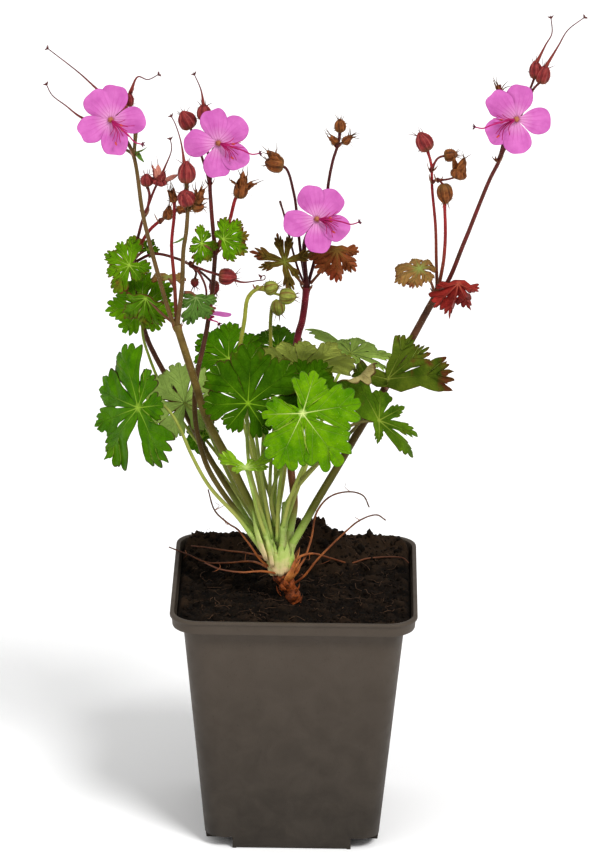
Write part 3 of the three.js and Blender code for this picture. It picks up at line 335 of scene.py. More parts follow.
def make_pot():
    outer = [(body_half(0) - 0.8, 0), (body_half(0) - 0.25, 0.25), (body_half(0.9), 0.9)]
    outer += [(body_half(z), z) for z in np.linspace(4, RIM_FOOT - 0.6, 20)]
    outer += [(body_half(RIM_FOOT) + 0.3, RIM_FOOT - 0.15), (RIM_HALF - 1.6, RIM_FOOT),
              (RIM_HALF - 1.1, RIM_FOOT + 0.2), (RIM_HALF - 0.9, RIM_FOOT + 0.7),
              (RIM_HALF - 0.75, RIM_FOOT + 2.4), (RIM_HALF - 0.55, POT_HEIGHT - 1.35),
              (RIM_HALF - 0.45, POT_HEIGHT - 1.15), (RIM_HALF, POT_HEIGHT - 0.95),
              (RIM_HALF, POT_HEIGHT - 0.35), (RIM_HALF - 0.12, POT_HEIGHT - 0.08),
              (RIM_HALF - 0.4, POT_HEIGHT)]
    inner = [(RIM_HALF - 1.2, POT_HEIGHT), (RIM_HALF - 1.5, POT_HEIGHT - 0.15),
             (RIM_HALF - 1.65, POT_HEIGHT - 0.6), (RIM_HALF - 1.9, RIM_FOOT + 1.2),
             (body_half(RIM_FOOT) - WALL, RIM_FOOT - 1.6), (body_half(50) - WALL, 50),
             (body_half(FLOOR_TOP) - WALL, FLOOR_TOP)]
    rings = [square_ring(half, z) for half, z in outer + inner]
    pot = solid("pot", [stack(rings, (0, 0, 0), (0, 0, FLOOR_TOP))])
    body_rings = [square_ring(body_half(z) - 0.05, z) for z in (0, 20)]
    corners = solid("corners", corner_blocks(NOTCH_SIZE + WALL, -1, NOTCH_HEIGHT + WALL))
    carve(corners, solid("body", [stack(body_rings, (0, 0, 0), (0, 0, 20))]), "INTERSECT")
    carve(pot, corners, "UNION")
    carve(pot, solid("notches", corner_blocks(NOTCH_SIZE, -1, NOTCH_HEIGHT)), "DIFFERENCE")
    drain_middle = FOOT_HALF - 5 - WALL
    drains = [drain_shell((x * drain_middle, y * drain_middle, NOTCH_HEIGHT)) for x, y in QUARTERS]
    carve(pot, solid("drains", drains), "DIFFERENCE")
    edges = pot.modifiers.new("edges", "BEVEL")
    edges.width = 0.25 * MM
    edges.segments = 2
    edges.limit_method = "ANGLE"
    edges.angle_limit = math.radians(50)
    keep_changes(pot)
    mesh = pot.data
    heights = np.empty(len(mesh.vertices) * 3, np.float32)
    mesh.vertices.foreach_get("co", heights)
    layer = mesh.attributes.new("height", "FLOAT", "POINT")
    layer.data.foreach_set("value", heights[2::3] / MM)
    mesh.materials.clear()
    mesh.materials.append(pot_plastic())
    mesh.shade_smooth()
    mesh.set_sharp_from_angle(angle=math.radians(35))
    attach(pot, "root")
    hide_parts("nursery_pot")


make_pot()

# -------- compost
# Peat-based compost, nearly black, that fills the pot to just under its lip. It is crumbly, with
# a low heap behind the plant, loose crumbs and bits of brown fibre lying on top.

SOIL_LEVEL = 92
SOIL_HALF = RIM_HALF - 2.4
HEAP_HEIGHT = 13.5
HEAP_PLACE = (6, 24)
HEAP_SPREAD = (14, 9)
BACK_RISE = 4.4
SOIL_FOOT = NOTCH_HEIGHT + WALL + 0.6
SOIL_CELLS = 150
CRUMB_COUNT = 1500
FIBRE_COUNT = 170
CRUMBLY, FIBRE = range(2)
luck = np.random.default_rng(7)


def waves(x, y, size, seed, count=7):
    """A smooth random relief between about -1 and 1, with lumps of about this size in mm."""
    draw = np.random.default_rng(seed)
    total = np.zeros_like(x)
    for _ in range(count):
        turn = draw.uniform(0, math.pi)
        pitch = 2 * math.pi / (size * draw.uniform(0.7, 1.5))
        total += np.sin(pitch * (x * math.cos(turn) + y * math.sin(turn)) + draw.uniform(0, 6.3))
    return total / math.sqrt(count)


def soil_height(x, y):
    """How far the compost stands above its level, in mm."""
    heap = HEAP_HEIGHT * np.exp(-abs((x - HEAP_PLACE[0]) / HEAP_SPREAD[0]) ** 3
                                - ((y - HEAP_PLACE[1]) / HEAP_SPREAD[1]) ** 2)
    back = BACK_RISE * np.clip((y - 14) / 22, 0, 1) ** 1.5
    lumps = 0.8 * waves(x, y, 14, 1) + 0.65 * waves(x, y, 6, 2)
    crumbs = 0.5 * np.abs(waves(x, y, 3.2, 3)) + 0.35 * np.abs(waves(x, y, 1.7, 4, 9))
    return heap * (1 + 0.16 * waves(x, y, 7, 5) + 0.1 * waves(x, y, 3, 6)) + back + lumps + crumbs


def round_off(x, y, half, radius):
    """Carries points of a square onto the rounded square of the same half width."""
    reach = np.maximum(np.maximum(abs(x), abs(y)), 1e-9)
    corner = radius * reach / half
    left = abs(x) - reach + corner
    up = abs(y) - reach + corner
    shrink = corner / np.maximum(np.hypot(left, up), 1e-9)
    outside = (left > 0) & (up > 0)
    new_x = np.where(outside, np.sign(x) * (reach - corner + left * shrink), x)
    new_y = np.where(outside, np.sign(y) * (reach - corner + up * shrink), y)
    return new_x, new_y


def compost_skin():
    finish = Finish("compost", 0.95, Specular_IOR_Level=0.2)
    dark = finish.mottle(4.0, 6.0, (10, 7, 5), (34, 25, 17), 0.35)
    brown = finish.tint(dark, (56, 39, 26), finish.cells(1.3), 0.1, 0.42, 0.5, 0.0)
    # Painted highlight: lighter brown where the lump mark says the compost is heaped up, and a little on
    # the crumbs.
    highlit_tops = finish.tint(brown, (74, 56, 40), finish.mark("lump"), 0.3, 1.0, 0.0, 0.35)
    finish.relief(finish.noise(0.5, 4.0), 0.35)
    return finish.done(highlit_tops)


def fibre_skin():
    finish = Finish("fibre", 0.8)
    return finish.done(finish.mix(finish.noise(3.0), (48, 31, 19), (96, 68, 44)))


def smooth_route(route, per_span):
    """Points along a smooth curve through the route, with the spacing of its own points."""
    route = np.asarray(route, float)
    ends = [2 * route[0] - route[1], *route, 2 * route[-1] - route[-2]]
    knots = [0.0]
    for first, second in zip(ends, ends[1:]):
        knots.append(knots[-1] + max(np.linalg.norm(second - first), 1e-4) ** 0.5)
    points = []
    for span in range(1, len(ends) - 2):
        p0, p1, p2, p3 = ends[span - 1:span + 3]
        t0, t1, t2, t3 = knots[span - 1:span + 3]
        last = span == len(ends) - 3
        for t in np.linspace(t1, t2, per_span + 1)[:None if last else -1]:
            a1 = (t1 - t) / (t1 - t0) * p0 + (t - t0) / (t1 - t0) * p1
            a2 = (t2 - t) / (t2 - t1) * p1 + (t - t1) / (t2 - t1) * p2
            a3 = (t3 - t) / (t3 - t2) * p2 + (t - t2) / (t3 - t2) * p3
            b1 = (t2 - t) / (t2 - t0) * a1 + (t - t0) / (t2 - t0) * a2
            b2 = (t3 - t) / (t3 - t1) * a2 + (t - t1) / (t3 - t1) * a3
            points.append((t2 - t) / (t2 - t1) * b1 + (t - t1) / (t2 - t1) * b2)
    return np.array(points)


def unit(vector):
    """The same direction, one unit long."""
    return vector / np.linalg.norm(vector)


def ring_frames(points):
    """For each point of a route, two directions across it that don't twist along it."""
    ahead = np.gradient(points, axis=0)
    ahead /= np.linalg.norm(ahead, axis=1, keepdims=True)
    across = np.cross(ahead[0], (0.13, 0.29, 0.95))
    if np.linalg.norm(across) < 0.2:
        across = np.cross(ahead[0], (0.9, 0.3, 0.1))
    sides = []
    for direction in ahead:
        across = unit(across - direction * across.dot(direction))
        sides.append(across)
    return np.array(sides), np.cross(ahead, sides)


def tube(route, radius, sides=8, per_span=5, tip=1.0, skin=0, bumps=0.0, seed=0, swell=None):
    """A closed tube along a route; swell gives its width at each share of its length."""
    points = smooth_route(route, per_span)
    right, up = ring_frames(points)
    length = np.concatenate([[0], np.cumsum(np.linalg.norm(np.diff(points, axis=0), axis=1))])
    share = length / length[-1]
    width = radius * (1 + (tip - 1) * share)
    if swell is not None:
        width = width * swell(share)
    width = width[:, None] * np.ones(sides)
    if bumps:
        draw = np.random.default_rng(seed)
        width *= 1 + bumps * (draw.random(width.shape) - 0.5)
    turns = np.linspace(0, 2 * math.pi, sides, endpoint=False)
    rings = (points[:, None] + width[..., None] * (np.cos(turns)[None, :, None] * right[:, None]
                                                   + np.sin(turns)[None, :, None] * up[:, None]))
    end = points[-1] + 0.5 * width[-1].mean() * unit(points[-1] - points[-2])
    along = np.concatenate([np.repeat(share, sides), [0.0, 1.0]])
    return stack(rings, points[0], end, skin, along=along)


def lump(place, size, draw):
    """A small ragged crumb: an octahedron split once, with every point moved a little."""
    corners = np.array([(1, 0, 0), (-1, 0, 0), (0, 1, 0), (0, -1, 0), (0, 0, 1), (0, 0, -1)], float)
    faces = [(0, 2, 4), (2, 1, 4), (1, 3, 4), (3, 0, 4), (2, 0, 5), (1, 2, 5), (3, 1, 5), (0, 3, 5)]
    points = [tuple(corner) for corner in corners]
    split = []
    for a, b, c in faces:
        middles = []
        for first, second in ((a, b), (b, c), (c, a)):
            middle = (corners[first] + corners[second]) / math.sqrt(2)
            key = tuple(np.round(middle, 4))
            if key not in points:
                points.append(key)
            middles.append(points.index(key))
        ab, bc, ca = middles
        split += [(a, ab, ca), (ab, b, bc), (ca, bc, c), (ab, bc, ca)]
    ragged = np.array(points) * draw.uniform(0.62, 1.2, (len(points), 1))
    stretch = size * draw.uniform(0.6, 1.2, 3)
    return ragged * stretch + place, np.array(split)


def soil_body():
    """The filling itself: its lumpy top, and plain sides and a foot inside the pot."""
    steps = np.linspace(-1, 1, SOIL_CELLS + 1)
    u, v = np.meshgrid(steps, steps)
    x, y = round_off(u * SOIL_HALF, v * SOIL_HALF, SOIL_HALF, corner_round(SOIL_LEVEL) - 2.0)
    edge = np.clip((1 - np.maximum(abs(u), abs(v))) / 0.035, 0, 1)
    rise = soil_height(x, y)
    top = np.stack([x, y, SOIL_LEVEL - 0.9 + edge * (0.4 + rise)], -1).reshape(-1, 3)
    columns = SOIL_CELLS + 1
    rim = np.concatenate([np.arange(columns), np.arange(1, columns) * columns + SOIL_CELLS,
                          np.arange(columns - 2, -1, -1) + SOIL_CELLS * columns,
                          np.arange(columns - 2, 0, -1) * columns])
    rings = []
    for height in (RIM_FOOT - 2.0, SOIL_FOOT):
        shrink = (body_half(height) - WALL - 0.5) / SOIL_HALF
        rings.append(top[rim] * (shrink, shrink, 0) + (0, 0, height))
    first = len(top)
    count = len(rim)
    here = np.arange(count)
    after = np.roll(here, -1)
    side = np.stack([rim[here], first + here, first + after, rim[after]], -1)
    foot_side = np.stack([first + here, first + count + here, first + count + after,
                          first + after], -1)
    faces = [grid_faces(columns, columns, closed=False), side, foot_side,
             fan(first + 2 * count, first + count + here, True)]
    points = np.concatenate([top, *rings, [(0, 0, SOIL_FOOT)]])
    # The lump mark, from how high the top is heaped, sets the painted highlight on raised compost.
    lift = np.zeros(len(points))
    lift[:first] = np.clip(rise.ravel() / 2.4, 0, 1)
    return shell(points, faces, CRUMBLY, lump=lift)


def loose_crumbs():
    """Crumbs that lie on the top, larger where it is heaped up."""
    points, faces, count = [], [], 0
    for _ in range(CRUMB_COUNT):
        x, y = luck.uniform(-1, 1, 2) * (SOIL_HALF - 2.5)
        base = float(soil_height(np.array(x), np.array(y)))
        size = 0.4 + (0.9 if base < 4 else 1.5) * luck.random() ** 3
        crumb, crumb_faces = lump((x, y, SOIL_LEVEL - 0.4 + base), size, luck)
        points.append(crumb)
        faces.append(crumb_faces + count)
        count += len(crumb)
    # The crumbs carry a little of the painted highlight through their lump mark.
    return shell(np.concatenate(points), [np.concatenate(faces)], CRUMBLY, lump=0.4)


def loose_fibre():
    """A bit of fibre that lies on the top, bent at random."""
    x, y = luck.uniform(-1, 1, 2) * (SOIL_HALF - 5)
    turn = luck.uniform(0, 2 * math.pi)
    reach = 0.7 + 3.2 * luck.random() ** 2
    base = float(soil_height(np.array(x), np.array(y)))
    route = []
    for share in (-1, -0.3, 0.35, 1):
        heading = turn + luck.normal(0, 0.3)
        route.append((x + share * reach * math.cos(heading), y + share * reach * math.sin(heading),
                      SOIL_LEVEL + base + 0.4 + luck.uniform(-0.5, 0.9)))
    return tube(route, luck.uniform(0.05, 0.15), sides=5, per_span=3, skin=FIBRE)


def make_piece(name, shells, skins, node):
    """Makes a piece from its shells, in place of the CAD node that it stands for."""
    item = add_object(name, build_mesh(name, shells, skins))
    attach(item, "root")
    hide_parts(node)


def make_compost():
    shells = [soil_body(), loose_crumbs(), *[loose_fibre() for _ in range(FIBRE_COUNT)]]
    make_piece("compost", shells, [compost_skin(), fibre_skin()], "potting_soil")


make_compost()

# -------- rootstock and roots
# A short woody rootstock, orange-brown and knobbly with old bark, that goes down into the
# compost. Thin wiry roots spring from it, and some arch over the rim band before they dry.

BARK, ROOT = range(2)
FLAKE_COUNT = 16
ROOT_RADIUS = 0.5
ROOTLET_RADIUS = 0.16
ROOTLETS_PER_ROOT = 3
PAPER_THICKNESS = 0.18
ROOTSTOCK_RADIUS = 3.4
ROOTSTOCK_ROUTE = [(-5, -16, 11.5), (-3.5, -16, 8.5), (-1.5, -15.5, 4.5), (0, -15.5, -0.5),
                   (0.5, -15.5, -9.5)]
ROOTS = [
    [(-2, -16.5, 11), (0.5, -12, 15), (5.5, -4, 14.5), (13.5, 12, 6), (20.5, 18, 2.5),
     (27.5, 22, 2.5), (39.5, 23, 3), (42, 18, 2.5)],
    [(-1.5, -15.5, 6), (3, -18, 11), (8.5, -19, 18), (17, -18, 27), (24, -16, 32), (29.5, -15, 33.5),
     (33, -15, 32)],
    [(-2.5, -14.5, 8.5), (3, -7, 12.5), (5.5, -1, 18.5), (8, 1, 28.5), (12, 2, 34), (20, 2, 37),
     (25, 2, 35), (27, 2, 30.5)],
    [(-4.5, -16.5, 10), (-10, -12, 12.5), (-16.5, 0, 9), (-25.5, 12, 4), (-33, 17, 2),
     (-40.5, 23, 3), (-47.5, 27, 4)],
    [(-5, -17, 11), (-12, -24, 15), (-19.5, -27, 15.5), (-27, -28, 17), (-32.5, -28, 19.5)],
    [(-4.5, -14, 9.5), (-10, -4, 11.5), (-18.5, 8, 9), (-26, 14, 8), (-33, 18, 7.5),
     (-39, 21, 7)],
    [(-5, -16, 11.5), (-12, -19, 16.5), (-16.5, -20, 23.5), (-21, -18, 28.5), (-24.5, -15, 30),
     (-29.5, -10, 33.5), (-32, -7, 40)],
]


def raised(route):
    """Lifts a route from heights above the compost to heights above the pot's foot."""
    return [(x, y, z + SOIL_LEVEL) for x, y, z in route]


def thicken(points, faces, depth, marks, skins):
    """Turns a sheet of triangles into a closed solid: its skins are its face and its back."""
    faces = faces[(faces[:, 0] != faces[:, 1]) & (faces[:, 1] != faces[:, 2])
                  & (faces[:, 2] != faces[:, 0])]
    edges = np.concatenate([faces[:, [0, 1]], faces[:, [1, 2]], faces[:, [2, 0]]])
    count = len(points)
    keys = edges[:, 0] * count + edges[:, 1]
    back_keys = edges[:, 1] * count + edges[:, 0]
    rim = edges[~np.isin(keys, back_keys)]
    normals = np.zeros_like(points)
    facets = np.cross(points[faces[:, 1]] - points[faces[:, 0]],
                      points[faces[:, 2]] - points[faces[:, 0]])
    for corner in range(3):
        np.add.at(normals, faces[:, corner], facets)
    normals /= np.maximum(np.linalg.norm(normals, axis=1, keepdims=True), 1e-9)
    both = np.concatenate([points, points - depth * normals])
    band = np.concatenate([np.stack([rim[:, 1], rim[:, 0], rim[:, 0] + count], -1),
                           np.stack([rim[:, 1], rim[:, 0] + count, rim[:, 1] + count], -1)])
    double = {name: np.concatenate([value, value]) for name, value in marks.items()}
    front = shell(both, [faces, band], skins[0], **double)
    back = shell(np.zeros((0, 3)), [faces[:, ::-1] + count - len(both)], skins[1])
    return [front, back]


def sheet_faces(rows, columns, flip=False):
    """The triangles of an open grid of points; flip turns them to face the other way."""
    quads = grid_faces(rows, columns, closed=False)
    if flip:
        quads = quads[:, ::-1]
    return np.concatenate([quads[:, :3], quads[:, [0, 2, 3]]])


def sheath(foot, tip, width, bend, seed, skin):
    """A pointed, papery sheath that wraps part of the way round the stalk behind it."""
    foot, tip = np.array(foot, float), np.array(tip, float)
    rows, columns = 12, 9
    u, v = np.meshgrid(np.linspace(0, 1, rows), np.linspace(-1, 1, columns), indexing="ij")
    out = np.cross((0, 0, 1), tip - foot)
    out = out / max(np.linalg.norm(out), 0.1)
    outward = unit(np.cross(out, tip - foot))
    breadth = width * (np.sin(math.pi * (0.12 + 0.88 * u) ** 0.8) + 0.05)
    ragged = 1 + 0.12 * waves(u * 9, v * 3, 2.2, seed)
    points = (foot + u[..., None] * (tip - foot) + (v * breadth * ragged)[..., None] * out
              + (bend * (np.sin(math.pi * u) - 0.6 * v ** 2 * breadth))[..., None] * outward)
    return thicken(points.reshape(-1, 3), sheet_faces(rows, columns), PAPER_THICKNESS,
                   {"along": u.ravel()}, (skin, skin))


def bark_skin():
    finish = Finish("rootstock_bark", 0.7)
    bark = finish.mottle(2.2, 5.0, (72, 32, 10), (172, 88, 30), 0.35, 0.68, 0.8)
    flakes = finish.tint(bark, (48, 22, 10), finish.cells(1.6), 0.05, 0.4, 0.55, 0.0)
    finish.relief(finish.noise(0.7, 4.0), 0.4)
    return finish.done(flakes)


def root_skin():
    finish = Finish("roots", 0.65)
    colour = finish.mottle(5.0, 3.0, (110, 54, 22), (186, 112, 54))
    colour = finish.tint(colour, (66, 34, 20), finish.mark("along"), 0.15, 0.85, 0.0, 0.85)
    finish.relief(finish.noise(0.4), 0.1)
    return finish.done(colour)


def knobbly(share):
    """The uneven width of the rootstock, from its top down."""
    return 0.84 + 0.2 * np.sin(7 * share + 1) ** 2 + 0.06 * np.sin(31 * share)


def make_rootstock():
    shells = [tube(raised(ROOTSTOCK_ROUTE), ROOTSTOCK_RADIUS, 28, 9, 0.6, BARK, 0.14, 3, knobbly)]
    for place in range(FLAKE_COUNT):
        draw = np.random.default_rng(90 + place)
        turn = draw.uniform(0, 2 * math.pi)
        out = np.array((math.cos(turn), math.sin(turn), 0))
        foot = (-5 + 0.33 * place, -16, 14 - 1.3 * place) + 3 * out
        tip = foot + 1.6 * out + (0, 0, draw.uniform(2.5, 5))
        shells += sheath(*raised([foot, tip]), draw.uniform(1.0, 2.1), 0.6, place, BARK)
    for place, route in enumerate(ROOTS):
        draw = np.random.default_rng(20 + place)
        kinked = [tuple(np.array(point) + draw.normal(0, 0.25, 3) * (0 < step < len(route) - 1))
                  for step, point in enumerate(route)]
        shells.append(tube(raised(kinked), ROOT_RADIUS, 8, 7, 0.5, ROOT, 0.22, place))
        for _ in range(ROOTLETS_PER_ROOT):
            start = np.array(kinked[draw.integers(1, len(kinked) - 1)])
            end = start + draw.normal(0, 1, 3) * (2.6, 2.6, 1.6)
            middle = (start + end) / 2 + draw.normal(0, 0.5, 3)
            rootlet = raised([start, middle, end])
            shells.append(tube(rootlet, ROOTLET_RADIUS, 5, 4, 0.4, ROOT, 0.1, place))
    make_piece("rootstock_and_roots", shells, [bark_skin(), root_skin()],
               "rootstock_and_roots")


make_rootstock()

# -------- crown
# The growing point: a fleshy, pale green heart on top of the rootstock. Every leaf and stem
# springs from it with a swollen base, between papery sheaths and two furled new leaves.

CROWN_FOOT = (-5, -16, 13)
HEART_SIZE = (4.8, 4.2, 5.8)
HEART_RISE = 3
SHEATH_COUNT = 18
GREEN_SHEATHS = 6
LEAF_FOOT_RADIUS = 0.85
HEART, LEAF_BASE, STEM_BASE, FURLED, PAPERY = range(5)
LEAF_FEET = [(-16, -21, 28), (-11, -20, 32), (-4.5, -21, 30.5), (-14, -14, 30), (-11.5, -9, 30.5),
             (-6.5, -10, 31.5), (-3.5, -12, 29.5), (-4, -14, 36.5), (-6.5, -16, 32),
             (-10.5, -22, 27.5), (-13, -6, 30), (-10.5, -5, 31), (-15.5, -8, 29.5)]
STEM_FEET = [(-16.5, -15, 30), (-12, -17, 29), (-14, -18, 26.5), (-2, -13, 25.5), (-1, -17, 23),
             (-9, -15, 29), (-8, -5, 29.5)]
STEM_FOOT_RADII = [1.1, 1.6, 1.0, 1.4, 1.5, 0.9, 0.8]


def crown_skin(name, low, high, tips, cream=0.0):
    """A fleshy or papery skin, with darker tips and this share of cream at its foot."""
    finish = Finish(name, 0.45)
    along = finish.mark("along")
    colour = finish.mottle(3.0, 3.0, low, high)
    colour = finish.tint(colour, tips, along, 0.55, 1.0, 0.0, 0.8)
    if cream:
        uneven = finish.span(finish.noise(2.0), 0.3, 0.7, -0.12, 0.12)
        shade = finish.combine("ADD", along, uneven)
        colour = finish.tint(colour, (232, 208, 162), shade, 0.12, 0.5, cream, 0.0)
    colour = finish.tint(colour, (150, 112, 62), finish.noise(2.6, 4.0), 0.6, 0.7, 0.0, 0.5)
    finish.relief(finish.noise(0.5, 3.0), 0.12)
    return finish.done(colour)


def round_body(place, size, grid, lobes, skin=0, turn=np.array):
    """A closed ball of these half sizes in mm, on a grid of columns and rows; lobes widen it."""
    columns, rows = grid
    turns, rises = np.meshgrid(np.linspace(0, 2 * math.pi, columns, endpoint=False),
                               np.linspace(-math.pi / 2, math.pi / 2, rows)[1:-1])
    wide = lobes(turns, rises)
    ball = np.stack([np.cos(rises) * np.cos(turns) * wide, np.cos(rises) * np.sin(turns) * wide,
                     np.sin(rises)], -1) * size + place
    low, high = (np.array(place) + (0, 0, end * size[2]) for end in (-1, 1))
    return stack([turn(ring) for ring in ball], turn(low), turn(high), skin)


def heart_lobes(turns, rises):
    return 1 + 0.07 * np.sin(5 * turns + 2 * rises) + 0.05 * np.sin(9 * turns)


def swollen_base(foot, radius, skin, seed):
    """The foot of a stalk, which widens where it springs from the crown."""
    foot = np.array(foot, float)
    base = np.array(CROWN_FOOT, float)
    middle = base + 0.5 * (foot - base) + (0, 0, -0.8)
    end = foot + 0.06 * (foot - base)
    return tube(raised([base, middle, end]), 1.1 * radius, 12, 6, 0.98, skin, 0.05, seed,
                lambda share: 1 + (2.6 - radius) * np.exp(-(share / 0.42) ** 2))


def make_crown():
    middle = np.array(CROWN_FOOT) + (0, 0, HEART_RISE + SOIL_LEVEL)
    shells = [round_body(middle, HEART_SIZE, (32, 20), heart_lobes, HEART)]
    feet = [(foot, LEAF_FOOT_RADIUS, LEAF_BASE) for foot in LEAF_FEET]
    feet += [(foot, radius, STEM_BASE) for foot, radius in zip(STEM_FEET, STEM_FOOT_RADII)]
    shells += [swollen_base(*details, place) for place, details in enumerate(feet)]
    shells += sheath(*raised([(-11, -21, 18), (-15.5, -22, 38)]), 2.3, 1.2, 31, FURLED)
    shells += sheath(*raised([(-8.5, -20.5, 15), (-10.8, -22.5, 33)]), 1.5, 1.0, 32, FURLED)
    for place in range(SHEATH_COUNT):
        draw = np.random.default_rng(60 + place)
        green = place < GREEN_SHEATHS
        turn = math.pi * (-0.98 + 0.16 * place if green else draw.uniform(-0.42, 1.1 - 0.06 * place))
        outward = np.array((math.cos(turn), math.sin(turn), 0))
        foot = np.array(CROWN_FOOT) + outward * (4.4, 3.9, 0) + (0, 0, SOIL_LEVEL - 2)
        foot[2] += draw.uniform(-1, 1.5) if green else draw.uniform(-3.5, 3)
        rise = draw.uniform(10, 15) if green else draw.uniform(4.5, 8.5)
        tip = foot + outward * draw.uniform(0.3, 1.2) * (1 if green else 2.6) + (0, 0, rise)
        shells += sheath(foot, tip, draw.uniform(1.5, 2.2), 0.7, 70 + place,
                         FURLED if green else PAPERY)
    skins = [crown_skin("crown_heart", (222, 208, 156), (198, 192, 128), (164, 176, 92), 0.9),
             crown_skin("leaf_bases", (198, 202, 140), (156, 184, 86), (148, 170, 84), 0.9),
             crown_skin("stem_bases", (198, 196, 138), (160, 178, 92), (146, 160, 82), 0.9),
             crown_skin("furled_leaves", (196, 204, 128), (162, 188, 84), (126, 158, 62), 0.95),
             crown_skin("papery_sheaths", (212, 150, 86), (176, 98, 46), (120, 60, 36))]
    make_piece("crown", shells, skins, "crown")


make_crown()

# -------- leaves of the crown
# Round, deeply lobed leaves on long wiry stalks that grow from the crown. Each thin blade is
# puckered between its sunken veins, scalloped at its margin, matt above and paler beneath, its
# back also brightened as painted light shining through the blade.

FACE, BACK, LEAF_STALK = range(3)
BLADE_THICKNESS = 0.36
MARGIN_START = 0.93
WIDE_GAP = 0.62
TOOTH, NOTCH = 1, 2

# Half of a lobe from its tip to the slit beside it: how far to the side, in parts of the angle
# to that slit, how far out, in parts of the lobe's length, and 1 where a tooth has its point or
# 2 where a notch is cut.
FULL = [(0, 1, 1), (0.1, 0.98, 0), (0.18, 0.94, 0), (0.2, 0.88, 2), (0.3, 0.945, 0),
        (0.43, 0.97, 1), (0.55, 0.945, 0), (0.62, 0.9, 0), (0.63, 0.845, 2), (0.73, 0.9, 0),
        (0.87, 0.91, 1), (0.99, 0.87, 0), (1.06, 0.78, 0), (1.04, 0.64, 0), (0.93, 0.5, 0)]
ROUNDED = [(0, 1, 1), (0.18, 0.985, 0), (0.3, 0.955, 2), (0.5, 0.97, 1), (0.7, 0.95, 0),
           (0.76, 0.925, 2), (0.9, 0.93, 1), (1.03, 0.9, 0), (1.04, 0.82, 0), (1.01, 0.7, 0)]
SCALLOPED = [(0, 1, 1), (0.1, 0.985, 0), (0.19, 0.93, 0), (0.215, 0.84, 2), (0.31, 0.915, 0),
             (0.44, 0.955, 1), (0.56, 0.93, 0), (0.635, 0.87, 0), (0.645, 0.785, 2), (0.74, 0.825, 0),
             (0.87, 0.835, 1), (0.98, 0.79, 0), (1.04, 0.7, 0), (1.01, 0.58, 0), (0.93, 0.47, 0)]
TOOTHED = [(0, 1, 1), (0.09, 0.955, 0), (0.16, 0.89, 0), (0.18, 0.82, 2), (0.27, 0.9, 0),
           (0.4, 0.95, 1), (0.5, 0.91, 0), (0.56, 0.86, 0), (0.57, 0.78, 2), (0.68, 0.85, 0),
           (0.83, 0.885, 1), (0.95, 0.83, 0), (1.02, 0.74, 0), (1.0, 0.6, 0), (0.9, 0.48, 0)]
CLEFT = [(0, 1, 1), (0.11, 0.97, 0), (0.19, 0.89, 0), (0.19, 0.73, 2), (0.32, 0.85, 0),
         (0.46, 0.89, 1), (0.58, 0.83, 0), (0.61, 0.68, 2), (0.73, 0.75, 0), (0.88, 0.76, 1),
         (0.97, 0.67, 0), (0.95, 0.56, 0), (0.84, 0.46, 0)]
POINTED = [(0, 1, 1), (0.08, 0.93, 0), (0.17, 0.84, 0), (0.22, 0.75, 2), (0.36, 0.8, 1),
           (0.42, 0.72, 0), (0.46, 0.63, 2), (0.62, 0.66, 1), (0.7, 0.56, 0), (0.72, 0.48, 0)]


def half_lobe(edge, reach, gap, half, slit, steps, draw):
    """One side of a lobe, tip to hub: offsets in degrees, distances in mm, and tooth places."""
    rough = [(share * (1 + 0.03 * draw.normal() * (kind != TOOTH or share > 0)),
              part * (1 + 0.022 * draw.normal() * (share > 0)), kind) for share, part, kind in edge]
    runs, run = [], []
    for point in rough + [(gap / half, slit / reach, NOTCH)]:
        run.append(point)
        if point[2] == NOTCH:
            runs.append(run)
            run = [point]
    offsets, parts, teeth = [], [], []
    for run in runs:
        inner = [(share, part, 0) for share, part, _ in run]
        smooth = smooth_route(inner, steps)
        kinds = [kind for _, _, kind in run]
        for index, (share, part, _) in enumerate(smooth[:-1] if run is not runs[-1] else smooth):
            if index % steps == 0 and kinds[index // steps] == TOOTH:
                teeth.append(len(offsets))
            offsets.append(share * half)
            parts.append(part * reach)
    slit_rows = max(3, round(2.0 * steps))
    for row in range(slit_rows - 1, -1, -1):
        offsets.append(gap)
        parts.append(slit * row / slit_rows)
    return np.array(offsets), np.array(parts), teeth


def bent(along, height, start, end, bend):
    """Rolls the outer part of a lobe back, by this many degrees at its tip."""
    if not bend:
        return along, height
    roll = (end - start) / math.radians(bend)
    turn = np.maximum(along - start, 0) / roll
    return (np.where(turn == 0, along, start + (roll + height) * np.sin(turn)),
            np.where(turn == 0, height, (roll + height) * np.cos(turn) - roll))


def distance_to(x, y, foot, tip):
    """How far points lie from the straight line between two places."""
    line = tip - foot
    share = np.clip(((x - foot[0]) * line[0] + (y - foot[1]) * line[1])
                    / max(line @ line, 1e-6), 0, 1)
    return np.hypot(x - foot[0] - share * line[0], y - foot[1] - share * line[1])


def weld(points, marks, faces, names):
    """Joins the patches of a blade or petal where their points meet, at their mean height."""
    points, marks, faces = np.concatenate(points), np.concatenate(marks), np.concatenate(faces)
    _, first, welded = np.unique(np.round(points[:, :2], 3), axis=0, return_index=True,
                                 return_inverse=True)
    welded = welded.ravel()
    joined = points[first]
    joined[:, 2] = np.bincount(welded, points[:, 2]) / np.bincount(welded)
    return joined, welded[faces], {name: marks[first, place] for place, name in enumerate(names)}


